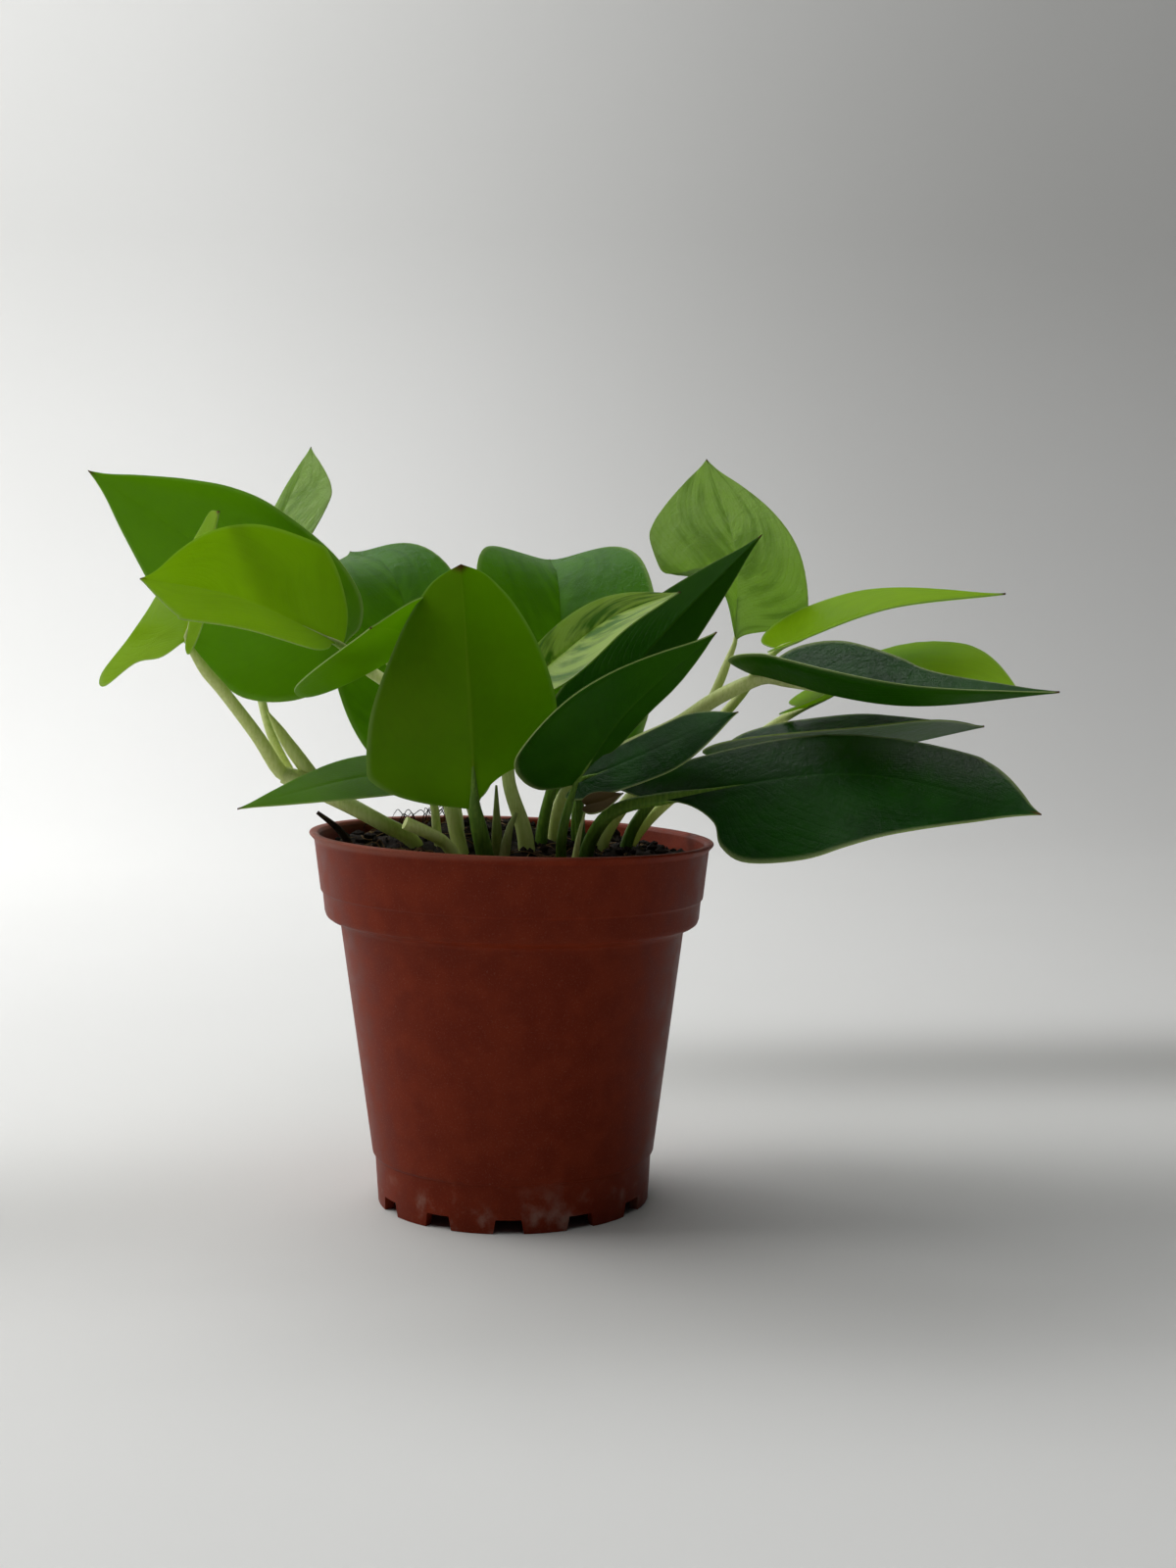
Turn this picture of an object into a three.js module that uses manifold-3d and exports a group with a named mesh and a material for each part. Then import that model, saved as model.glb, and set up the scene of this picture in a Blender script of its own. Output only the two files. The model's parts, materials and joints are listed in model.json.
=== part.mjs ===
// A trailing aroid with heart-shaped leaves, in a soft plastic nursery pot with its soil.
// Millimetres, +Z up. The origin is on the pot's axis, on the ground, and -Y is the front.
import * as THREE from "three";
import { mergeVertices } from "three/addons/utils/BufferGeometryUtils.js";
import Module from "manifold-3d";

const wasm = await Module();
wasm.setup();

// The pot
const RIM_DIAMETER = 105;
const BASE_DIAMETER = 71;
const POT_HEIGHT = 95.5;
const WALL = 1.2;
const COLLAR_HEIGHT = 22.5;
const FOOT_HEIGHT = 3.6;
const NOTCHES = 12;
const NOTCH_WIDTH = 8;
const NOTCH_TURN = 2;
const DRAIN_HOLES = 6;
const DRAIN_HOLE_RADIUS = 3;
const DRAIN_CIRCLE_RADIUS = 22;
const CENTRE_PAD_RADIUS = 12;
const POT_SIDES = 40;
const RIM_LEAN = 2;

// The soil
const SOIL_EDGE_HEIGHT = 89.5;
const SOIL_MOUND = 7.5;
const SOIL_MOUND_RADIUS = 34;
const SOIL_LUMP = 0.9;
const GAP = 0.35;

// The plant
const BLADE_THICKNESS = 0.5;
const BLADE_ROWS = 12;
const BLADE_COLUMNS = 3;
const STALK_SIDES = 6;
const STALK_STEPS_PER_POINT = 2;
const JOIN_GAP = 0.3;

// Surfaces
const finish = (color, roughness) => new THREE.MeshStandardMaterial({ color, roughness, metalness: 0 });
const TERRACOTTA = finish("#9c4630", 0.6);
const PEAT = finish("#2b1d14", 0.95);
const DARK_LEAF = finish("#1f4a12", 0.35);
const MID_LEAF = finish("#3f7a1e", 0.4);
const LIGHT_LEAF = finish("#86b53c", 0.4);
const PALE_STALK = finish("#8aa84a", 0.5);
const DARK_STALK = finish("#4c7426", 0.5);
const DRY_BROWN = finish("#5a4026", 0.8);

const { cos, sin, tan, PI } = Math;
const radians = THREE.MathUtils.degToRad;
const lerp = THREE.MathUtils.lerp;

// Meshes and solids

function meshFromTriangles(vertices, triangles) {
  const geometry = new THREE.BufferGeometry();
  geometry.setAttribute("position", new THREE.Float32BufferAttribute(vertices.flat(), 3));
  geometry.setIndex(triangles.flat());
  return geometry;
}

function solidFrom(geometry) {
  const bare = geometry.clone();
  bare.deleteAttribute("normal");
  bare.deleteAttribute("uv");
  const merged = mergeVertices(bare, 1e-3);
  return new wasm.Manifold(
    new wasm.Mesh({
      numProp: 3,
      vertProperties: new Float32Array(merged.attributes.position.array),
      triVerts: new Uint32Array(merged.index.array),
    }),
  );
}

function geometryFrom(solid) {
  const { vertProperties, triVerts, numProp } = solid.getMesh();
  const geometry = new THREE.BufferGeometry();
  const vertices = [];
  for (let i = 0; i < vertProperties.length; i += numProp) {
    vertices.push(vertProperties[i], vertProperties[i + 1], vertProperties[i + 2]);
  }
  geometry.setAttribute("position", new THREE.Float32BufferAttribute(vertices, 3));
  geometry.setIndex(Array.from(triVerts));
  return geometry;
}

// The soft rim sits a little lower on the right, and the base stays level.
function leanHeight(x, z) {
  return z - (x * tan(radians(RIM_LEAN)) * z) / POT_HEIGHT;
}

function leaned(geometry) {
  const place = geometry.attributes.position;
  for (let i = 0; i < place.count; i++) {
    place.setZ(i, leanHeight(place.getX(i), place.getZ(i)));
  }
  return geometry;
}

// LatheGeometry turns about Y, so it is stood up on Z.
function turned(profile, sides) {
  const points = profile.map(([radius, height]) => new THREE.Vector2(radius, height));
  return new THREE.LatheGeometry(points, sides).rotateX(PI / 2);
}

// The pot: a tapered cup with a collar, a rolled lip and a notched foot ring

const RIM_RADIUS = RIM_DIAMETER / 2;
const BASE_RADIUS = BASE_DIAMETER / 2;
const COLLAR_BASE = POT_HEIGHT - COLLAR_HEIGHT;
const LIP_OVERHANG = 1.2;
const LIP_THICKNESS = 1.1;
const COLLAR_TOP_RADIUS = RIM_RADIUS - LIP_OVERHANG;
const COLLAR_STEP_HEIGHT = POT_HEIGHT - 14.5;
const COLLAR_STEP_RADIUS = COLLAR_TOP_RADIUS - 1.7;
const COLLAR_BAND_RADIUS = COLLAR_STEP_RADIUS - 0.8;
const BODY_TOP_RADIUS = COLLAR_BAND_RADIUS - 3.9;
const FLOOR_THICKNESS = 1.5;
const FLOOR_TOP = FOOT_HEIGHT + FLOOR_THICKNESS;
const FOOT_STEP_HEIGHT = 13;

const POT_INSIDE = [
  [COLLAR_TOP_RADIUS - WALL + 0.3, POT_HEIGHT],
  [COLLAR_TOP_RADIUS - WALL - 0.2, POT_HEIGHT - LIP_THICKNESS],
  [COLLAR_STEP_RADIUS - WALL, COLLAR_STEP_HEIGHT],
  [COLLAR_BAND_RADIUS - WALL, COLLAR_STEP_HEIGHT - 2],
  [COLLAR_BAND_RADIUS - WALL - 0.4, COLLAR_BASE + 3.2],
  [BODY_TOP_RADIUS - WALL, COLLAR_BASE],
  [BASE_RADIUS - WALL + 0.4, FLOOR_TOP],
  [0, FLOOR_TOP],
];

function potGeometry() {
  const outside = [
    [BASE_RADIUS, 0],
    [BASE_RADIUS + 0.8, FOOT_STEP_HEIGHT - 0.6],
    [BASE_RADIUS + 1.4, FOOT_STEP_HEIGHT],
    [BODY_TOP_RADIUS, COLLAR_BASE - 1],
    [BODY_TOP_RADIUS + 0.6, COLLAR_BASE],
    [COLLAR_BAND_RADIUS - 1.4, COLLAR_BASE + 0.6],
    [COLLAR_BAND_RADIUS - 0.4, COLLAR_BASE + 2.4],
    [COLLAR_BAND_RADIUS, COLLAR_STEP_HEIGHT - 1.4],
    [COLLAR_STEP_RADIUS, COLLAR_STEP_HEIGHT - 0.5],
    [COLLAR_TOP_RADIUS, POT_HEIGHT - LIP_THICKNESS - 0.9],
    [RIM_RADIUS - 0.3, POT_HEIGHT - LIP_THICKNESS],
    [RIM_RADIUS, POT_HEIGHT - LIP_THICKNESS / 2],
    [RIM_RADIUS - 0.4, POT_HEIGHT],
  ];
  const underside = [
    [0, 0],
    [CENTRE_PAD_RADIUS, 0],
    [CENTRE_PAD_RADIUS, FOOT_HEIGHT],
    [BASE_RADIUS - WALL * 2, FOOT_HEIGHT],
    [BASE_RADIUS - WALL * 2, 0],
  ];
  const cup = turned([...underside, ...outside, ...POT_INSIDE], POT_SIDES);
  return leaned(geometryFrom(solidFrom(cup).subtract(drainage())));
}

// Twelve trapezoid notches in the foot ring, and round holes through the floor.
function drainage() {
  const notchTop = NOTCH_WIDTH * 0.8;
  const outline = new THREE.Shape([
    new THREE.Vector2(-NOTCH_WIDTH / 2, -1),
    new THREE.Vector2(NOTCH_WIDTH / 2, -1),
    new THREE.Vector2(notchTop / 2, FOOT_HEIGHT),
    new THREE.Vector2(-notchTop / 2, FOOT_HEIGHT),
  ]);
  const reach = WALL * 5;
  let cut = null;
  for (let i = 0; i < NOTCHES; i++) {
    const notch = new THREE.ExtrudeGeometry(outline, { depth: reach, bevelEnabled: false });
    notch.rotateX(PI / 2);
    notch.translate(0, reach - BASE_RADIUS - WALL, 0);
    notch.rotateZ(radians((360 * i) / NOTCHES - NOTCH_TURN));
    cut = cut ? cut.add(solidFrom(notch)) : solidFrom(notch);
  }
  for (let i = 0; i < DRAIN_HOLES; i++) {
    const turn = (2 * PI * (i + 0.5)) / DRAIN_HOLES;
    const hole = new THREE.CylinderGeometry(DRAIN_HOLE_RADIUS, DRAIN_HOLE_RADIUS, FLOOR_TOP * 2, 12);
    hole.rotateX(PI / 2);
    hole.translate(DRAIN_CIRCLE_RADIUS * cos(turn), DRAIN_CIRCLE_RADIUS * sin(turn), FLOOR_TOP);
    cut = cut.add(solidFrom(hole));
  }
  return cut;
}

// The soil: it fills the pot, is heaped round the stems and has a socket for each of them

function soilSurface(x, y) {
  const heap = SOIL_MOUND * Math.exp(-((x + 6) ** 2 + (y - 6) ** 2) / SOIL_MOUND_RADIUS ** 2);
  const lumps = SOIL_LUMP * (sin(x * 0.35 + 1) * cos(y * 0.3) + 0.6 * sin(x * 0.6 - y * 0.5));
  return SOIL_EDGE_HEIGHT + heap + lumps;
}

function soilGeometry(rooted) {
  const wall = POT_INSIDE.filter(([, height]) => height < SOIL_EDGE_HEIGHT).reverse();
  const raised = (height) => (height === FLOOR_TOP ? height + GAP : height);
  const side = wall.map(([radius, height]) => [Math.max(radius - GAP, 0), raised(height)]);
  side.push([COLLAR_STEP_RADIUS - WALL - GAP, SOIL_EDGE_HEIGHT]);
  const edgeRadius = side.at(-1)[0];
  const top = [0.85, 0.68, 0.5, 0.32, 0.15, 0].map((share) => [edgeRadius * share, SOIL_EDGE_HEIGHT]);
  const heap = turned([...side, ...top], POT_SIDES);
  const place = heap.attributes.position;
  for (let i = 0; i < place.count; i++) {
    if (place.getZ(i) > SOIL_EDGE_HEIGHT - 0.01) {
      place.setZ(i, soilSurface(place.getX(i), place.getY(i)));
    }
  }
  let solid = solidFrom(leaned(heap));
  for (const stem of rooted) {
    solid = solid.subtract(solidFrom(tubeGeometry(stem, GAP)));
  }
  return geometryFrom(solid);
}

// A stem or leaf stalk: a tube along its route, with a radius for each end

function tubeGeometry({ route, radii }, grow = 0) {
  const curve = new THREE.CatmullRomCurve3(
    route.map((point) => new THREE.Vector3(...point)),
    false,
    "catmullrom",
    0.5,
  );
  const steps = (route.length - 1) * STALK_STEPS_PER_POINT;
  const frames = curve.computeFrenetFrames(steps);
  const vertices = [];
  const triangles = [];
  for (let i = 0; i <= steps; i++) {
    const share = i / steps;
    const centre = curve.getPointAt(share);
    const endShift = grow * ((i === steps) - (i === 0));
    centre.addScaledVector(frames.tangents[i], endShift);
    const radius = lerp(radii[0], radii[1], share) + grow;
    for (let j = 0; j < STALK_SIDES; j++) {
      const turn = (2 * PI * j) / STALK_SIDES;
      const rim = centre.clone();
      rim.addScaledVector(frames.normals[i], radius * cos(turn));
      rim.addScaledVector(frames.binormals[i], radius * sin(turn));
      vertices.push(rim.toArray());
    }
  }
  for (let i = 0; i < steps; i++) {
    for (let j = 0; j < STALK_SIDES; j++) {
      const a = i * STALK_SIDES + j;
      const b = i * STALK_SIDES + ((j + 1) % STALK_SIDES);
      triangles.push([a, b, b + STALK_SIDES], [a, b + STALK_SIDES, a + STALK_SIDES]);
    }
  }
  const last = steps * STALK_SIDES;
  for (let j = 1; j < STALK_SIDES - 1; j++) {
    triangles.push([0, j + 1, j], [last, last + j, last + j + 1]);
  }
  return meshFromTriangles(vertices, triangles);
}

// A leaf blade: two halves that open from a midrib, each bounded by a heart-shaped edge

// One half's edge as (along, across) shares of the length and half width, from the stalk
// round the lobe behind it to the tip, which is drawn out or blunt.
function edgeCurve(leaf, half) {
  const lobe = leaf.lobes[half];
  const widest = leaf.widest[half];
  const rest = 1 - widest;
  const round = (drawnOut, rounded) => lerp(drawnOut, rounded, leaf.blunt ?? 0);
  const heart = [
    [0, 0],
    [-0.6 * lobe, 0.15],
    [-lobe, 0.42],
    [0.15 * widest - 0.7 * lobe, 0.72],
    [0.5 * widest - 0.2 * lobe, 0.94],
    [widest, 1],
    [widest + 0.28 * rest, round(0.9, 0.95)],
    [widest + 0.52 * rest, round(0.66, 0.85)],
    [widest + 0.74 * rest, round(0.36, 0.66)],
    [widest + 0.88 * rest, round(0.14, 0.45)],
    [widest + 0.95 * rest, round(0.05, 0.28)],
    [1, 0],
  ];
  const points = half === 0 && leaf.outline ? leaf.outline : heart;
  return new THREE.CatmullRomCurve3(
    points.map(([along, across]) => new THREE.Vector3(along, across, 0)),
    false,
    "catmullrom",
    0.5,
  );
}

// The blade's frame at a share of its length: centre, right and up. Shares below zero lie behind the stalk.
function bladeFrame(leaf, curve, share) {
  const held = THREE.MathUtils.clamp(share, 0, 1);
  const step = 1e-3;
  const centre = curve.getPoint(held);
  const forward = curve
    .getPoint(Math.min(held + step, 1))
    .sub(curve.getPoint(Math.max(held - step, 0)))
    .normalize();
  const up = new THREE.Vector3(...leaf.faces);
  up.addScaledVector(forward, -up.dot(forward)).normalize();
  const right = new THREE.Vector3().crossVectors(forward, up);
  centre.addScaledVector(forward, (share - held) * curve.getLength());
  return { centre, right, up };
}

// A point of the blade, with `across` from 0 at the midrib to 1 at the widest half width.
function bladePoint(leaf, curve, half, share, across) {
  const { centre, right, up } = bladeFrame(leaf, curve, share);
  const start = radians(leaf.fold[half]);
  const turn = radians(leaf.curl[half]) * across;
  const flat = Math.abs(turn) < 1e-3;
  const out = flat ? cos(start) : (sin(start + turn) - sin(start)) / turn;
  const rise = flat ? sin(start) : (cos(start) - cos(start + turn)) / turn;
  const reach = leaf.halfWidths[half] * across;
  const outward = half === 0 ? -1 : 1;
  const point = centre.clone();
  point.addScaledVector(right, outward * reach * out);
  point.addScaledVector(up, reach * rise);
  const slope = start + turn;
  const normal = up.clone().multiplyScalar(cos(slope)).addScaledVector(right, -outward * sin(slope));
  return { point, normal: across > 0 ? normal : up };
}

function bladeGeometry(leaf) {
  const curve = new THREE.CatmullRomCurve3(
    leaf.midrib.map((point) => new THREE.Vector3(...point)),
    false,
    "catmullrom",
    0.5,
  );
  const edges = [0, 1].map((half) => edgeCurve(leaf, half));
  const upper = [];
  const lower = [];
  const vertices = [];
  const addVertex = (point) => vertices.push(point.toArray()) - 1;
  for (let row = 0; row <= BLADE_ROWS; row++) {
    const inner = row / BLADE_ROWS;
    const atEnd = row === 0 || row === BLADE_ROWS;
    upper.push([]);
    lower.push([]);
    for (let column = -BLADE_COLUMNS; column <= BLADE_COLUMNS; column++) {
      const half = column < 0 ? 0 : 1;
      const share = Math.abs(column) / BLADE_COLUMNS;
      const edge = edges[half].getPoint(inner);
      const along = lerp(inner, edge.x, share);
      const across = Math.max(edge.y, 0) * share;
      if (atEnd && column > -BLADE_COLUMNS) {
        upper[row].push(upper[row][0]);
        lower[row].push(lower[row][0]);
        continue;
      }
      const { point, normal } = bladePoint(leaf, curve, half, atEnd ? inner : along, atEnd ? 0 : across);
      if (share === 1 || atEnd) {
        const shared = addVertex(point);
        upper[row].push(shared);
        lower[row].push(shared);
        continue;
      }
      const thickness = (BLADE_THICKNESS / 2) * (1 - share ** 2);
      upper[row].push(addVertex(point.clone().addScaledVector(normal, thickness)));
      lower[row].push(addVertex(point.clone().addScaledVector(normal, -thickness)));
    }
  }
  const triangles = [];
  const addTriangle = (a, b, c) => {
    if (a !== b && b !== c && c !== a) triangles.push([a, b, c]);
  };
  for (let row = 0; row < BLADE_ROWS; row++) {
    for (let column = 0; column < 2 * BLADE_COLUMNS; column++) {
      const [a, b] = [upper[row][column], upper[row][column + 1]];
      const [c, d] = [upper[row + 1][column], upper[row + 1][column + 1]];
      addTriangle(a, b, d);
      addTriangle(a, d, c);
      const [e, f] = [lower[row][column], lower[row][column + 1]];
      const [g, h] = [lower[row + 1][column], lower[row + 1][column + 1]];
      addTriangle(e, h, f);
      addTriangle(e, g, h);
    }
  }
  return meshFromTriangles(vertices, triangles);
}

// Directions that an upper side can look in. The viewer stands in front, on the -Y side.
const UP = [0, 0, 1];
const UP_AND_NEAR = [0, -0.7, 0.7];
const UP_LEFT_AND_NEAR = [-0.5, -0.5, 0.7];
const UP_LEFT_AND_AWAY = [-0.4, 0.6, 0.6];
const NEAR = [0, -1, 0];
const AWAY = [0, 1, 0];

// The outer left leaf's left half, as (along, across) shares: a hollow lower edge runs out to a
// long lobe beside the stalk, and a nearly straight margin comes back to the tip.
const LOBED_OUTLINE = [
  [0, 0], [-0.14, 0.25], [-0.2, 0.55], [-0.4, 0.88], [-0.3, 0.94], [-0.02, 0.7],
  [0.25, 0.5], [0.45, 0.42], [0.6, 0.35], [0.78, 0.28], [0.93, 0.18], [1, 0],
];

// The leaves. `midrib` holds three points: at the stalk, in the middle and at the tip. `faces` is
// where the upper side looks. The pairs are the left and right halves, seen from above with the tip
// ahead: half widths, the angle at which each half rises from the midrib, how much further it curls
// up, the lobe behind the stalk and where the blade is widest, as shares of the length. `stalk` is
// the stalk's route from the soil to the blade, and a leaf that isn't rooted grows from the vine.
// `blunt` rounds a tip off, from 0 to 1, and `outline` is the left half's edge where it has its own.
const LEAVES = [
  {
    name: "front",
    colour: MID_LEAF,
    midrib: [[-9, -34, 105], [-10, -44, 132], [-12, -42, 164]],
    faces: AWAY,
    halfWidths: [22, 28],
    fold: [20, 20],
    curl: [0, 0],
    lobes: [-0.15, 0],
    widest: [0.4, 0.12],
    stalk: [[-5, -29, 86], [-7, -32, 95]],
    stalkRadii: [2.4, 2],
    blunt: 0.8,
  },
  {
    name: "left_large",
    colour: MID_LEAF,
    midrib: [[-44, 1, 144], [-73, 6, 165], [-110, 10, 190]],
    faces: UP_AND_NEAR,
    halfWidths: [30, 21],
    fold: [0, 10],
    curl: [0, 10],
    lobes: [0.05, 0],
    widest: [0.2, 0.5],
    stalk: [[-13, -4, 86], [-15, -3, 104], [-21, -3, 124], [-30, -2, 139], [-36, 0, 143]],
    stalkRadii: [1.7, 1.2],
  },
  {
    name: "left_near",
    colour: LIGHT_LEAF,
    midrib: [[-42, -20, 145], [-64, -42, 156], [-84, -60, 160]],
    faces: UP,
    halfWidths: [12, 27],
    fold: [-45, 60],
    curl: [0, 10],
    lobes: [-0.1, 0.05],
    widest: [0.85, 0.1],
    stalk: [
      [-11, -26, 86], [-13, -26, 95], [-16, -25, 108],
      [-22, -20, 125], [-30, -13, 134], [-37, -10, 139],
    ],
    stalkRadii: [2, 1.5],
  },
  {
    name: "left_outer",
    colour: LIGHT_LEAF,
    midrib: [[-79, -30, 146], [-76, -28, 161], [-70, -32, 177]],
    faces: UP_LEFT_AND_NEAR,
    halfWidths: [36, 5],
    fold: [0, -10],
    curl: [0, 0],
    lobes: [0.45, 0.1],
    widest: [0.4, 0.3],
    stalk: [[-59, -10, 113], [-64, -14, 122], [-71, -21, 133], [-75, -27, 139]],
    stalkRadii: [1.9, 1.4],
    rooted: false,
    outline: LOBED_OUTLINE,
  },
  {
    name: "left_folded",
    colour: MID_LEAF,
    midrib: [[-22, -20, 146], [-29, -36, 149], [-33, -48, 149]],
    faces: UP,
    halfWidths: [13, 32],
    fold: [40, -30],
    curl: [0, 0],
    lobes: [0.1, 0],
    widest: [0.3, 0.3],
    stalk: [[-7, -7, 86], [-9, -8, 98], [-13, -11, 112], [-17, -17, 129]],
    stalkRadii: [1.5, 1.1],
  },
  {
    name: "left_back",
    colour: LIGHT_LEAF,
    midrib: [[-68, 20, 166], [-60, 25, 183], [-54, 28, 198]],
    faces: UP_AND_NEAR,
    halfWidths: [3, 12],
    fold: [0, 10],
    curl: [0, 0],
    lobes: [0.1, 0.1],
    widest: [0.4, 0.6],
    stalk: [[-57, -7, 113], [-62, -2, 122], [-66, 6, 134], [-70, 16, 152]],
    stalkRadii: [1.3, 1],
    rooted: false,
  },
  {
    name: "left_low",
    colour: MID_LEAF,
    midrib: [[-24, -10, 113], [-42, -19, 111], [-67, -30, 105]],
    faces: UP,
    halfWidths: [9, 9],
    fold: [-30, 30],
    curl: [0, 0],
    lobes: [0.05, 0.05],
    widest: [0.3, 0.3],
    stalk: [[-17, -18, 86], [-19, -16, 98], [-20, -13, 105]],
    stalkRadii: [1.4, 1],
  },
  {
    name: "back_left",
    colour: DARK_LEAF,
    midrib: [[-18, 4, 111], [-31, 26, 161], [-46, 54, 171]],
    faces: UP_AND_NEAR,
    halfWidths: [24, 18],
    fold: [15, 10],
    curl: [0, 0],
    lobes: [0, 0.1],
    widest: [0.3, 0.2],
    stalk: [[-14, 6, 86], [-15, 6, 98]],
    stalkRadii: [1.8, 1.3],
  },
  {
    name: "back_centre",
    colour: DARK_LEAF,
    midrib: [[14, 6, 116], [13, 32, 159], [11, 60, 169]],
    faces: UP_AND_NEAR,
    halfWidths: [25, 27],
    fold: [25, 20],
    curl: [0, 0],
    lobes: [0.1, 0.1],
    widest: [0.45, 0.35],
    stalk: [[8, -2, 86], [10, 0, 98]],
    stalkRadii: [1.9, 1.4],
  },
  {
    name: "young_striped",
    colour: LIGHT_LEAF,
    midrib: [[6, -11, 137], [24, -16, 151], [42, -20, 158]],
    faces: UP_AND_NEAR,
    halfWidths: [7, 13],
    fold: [20, 20],
    curl: [0, 0],
    lobes: [0.1, 0.1],
    widest: [0.3, 0.3],
    stalk: [[4, -21, 86], [3, -21, 98], [-1, -19, 112], [1, -12, 125]],
    stalkRadii: [2.3, 1.2],
  },
  {
    name: "centre_long",
    colour: DARK_LEAF,
    midrib: [[13, -10, 117], [38, -10, 147], [64, -8, 173]],
    faces: AWAY,
    halfWidths: [10, 12],
    fold: [20, 25],
    curl: [0, 0],
    lobes: [0.1, 0.1],
    widest: [0.3, 0.2],
    stalk: [[7, -12, 86], [8, -11, 100]],
    stalkRadii: [1.8, 1.3],
  },
  {
    name: "centre_rolled",
    colour: DARK_LEAF,
    midrib: [[15, -32, 111], [28, -42, 130], [48, -50, 148]],
    faces: UP_LEFT_AND_AWAY,
    halfWidths: [7, 25],
    fold: [0, 0],
    curl: [0, 0],
    lobes: [-0.2, 0.05],
    widest: [0.6, 0.2],
    stalk: [[12, -30, 86], [12, -32, 98]],
    stalkRadii: [1.6, 1.2],
  },
  {
    name: "centre_low",
    colour: DARK_LEAF,
    midrib: [[17, -21, 111], [36, -33, 120], [54, -43, 129]],
    faces: UP_AND_NEAR,
    halfWidths: [7, 8],
    fold: [0, -10],
    curl: [0, 0],
    lobes: [0.1, 0.1],
    widest: [0.6, 0.5],
    stalk: [[18, -17, 86], [17, -19, 98]],
    stalkRadii: [1.6, 1.2],
  },
  {
    name: "small_dry",
    colour: DRY_BROWN,
    midrib: [[18, -33, 106], [22, -34, 107], [27, -35, 109]],
    faces: UP_AND_NEAR,
    halfWidths: [3, 4],
    fold: [10, 10],
    curl: [0, 0],
    lobes: [0.1, 0.1],
    widest: [0.3, 0.3],
    stalk: [[14, -38, 86], [16, -36, 98]],
    stalkRadii: [1, 0.7],
  },
  {
    name: "back_right",
    colour: LIGHT_LEAF,
    midrib: [[60, 16, 146], [60, 18, 170], [53, 27, 195]],
    faces: NEAR,
    halfWidths: [22, 19],
    fold: [5, 5],
    curl: [0, 0],
    lobes: [-0.4, -0.05],
    widest: [0.65, 0.22],
    stalk: [[22, 2, 86], [25, 3, 97], [41, 8, 116], [51, 11, 127], [55, 13, 134], [58, 15, 141]],
    stalkRadii: [1.7, 1.2],
  },
  {
    name: "right_pale",
    colour: LIGHT_LEAF,
    midrib: [[69, 0, 144], [96, -2, 154], [128, -3, 158]],
    faces: UP,
    halfWidths: [16, 18],
    fold: [25, 0],
    curl: [0, 0],
    lobes: [0.05, 0.05],
    widest: [0.2, 0.2],
    stalk: [
      [22, -5, 86], [25, -3, 97], [37, 1, 112], [49, 3, 121],
      [54, 3, 125], [60, 2, 132], [64, 1, 138],
    ],
    stalkRadii: [1.7, 1.2],
  },
  {
    name: "right_glossy",
    colour: DARK_LEAF,
    midrib: [[61, -30, 137], [92, -50, 131], [128, -55, 134]],
    faces: UP,
    halfWidths: [22, 12],
    fold: [30, 30],
    curl: [0, 0],
    lobes: [0, 0.1],
    widest: [0.2, 0.1],
    stalk: [
      [10, -6, 86], [11, -6, 95], [13, -8, 105], [20, -12, 114],
      [31, -18, 120], [41, -22, 125], [51, -26, 132],
    ],
    stalkRadii: [2.2, 1.8],
  },
  {
    name: "right_behind",
    colour: LIGHT_LEAF,
    midrib: [[76, -4, 129], [99, -14, 138], [126, -30, 133]],
    faces: UP,
    halfWidths: [22, 14],
    fold: [20, 0],
    curl: [0, 0],
    lobes: [0.1, 0.1],
    widest: [0.6, 0.3],
    stalk: [[28, 10, 86], [36, 16, 97], [50, 24, 108], [64, 22, 118], [72, 10, 125]],
    stalkRadii: [1.7, 1.2],
  },
  {
    name: "right_long",
    colour: DARK_LEAF,
    midrib: [[55, -1, 115], [89, -13, 118], [121, -11, 124]],
    faces: UP,
    halfWidths: [18, 20],
    fold: [30, 20],
    curl: [0, 0],
    lobes: [0, 0.05],
    widest: [0.4, 0.6],
    stalk: [[28, 0, 86], [32, 0, 98], [42, 0, 109]],
    stalkRadii: [1.7, 1.2],
  },
  {
    name: "right_front",
    colour: DARK_LEAF,
    midrib: [[35, -28, 107], [81, -44, 114], [119, -74, 107]],
    faces: UP_AND_NEAR,
    halfWidths: [16, 24],
    fold: [0, 0],
    curl: [-15, -15],
    lobes: [0.1, -0.15],
    widest: [0.7, 0.4],
    stalk: [[17, -22, 86], [19, -23, 95], [23, -25, 102], [28, -26, 105]],
    stalkRadii: [1.9, 1.5],
  },
];

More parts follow.
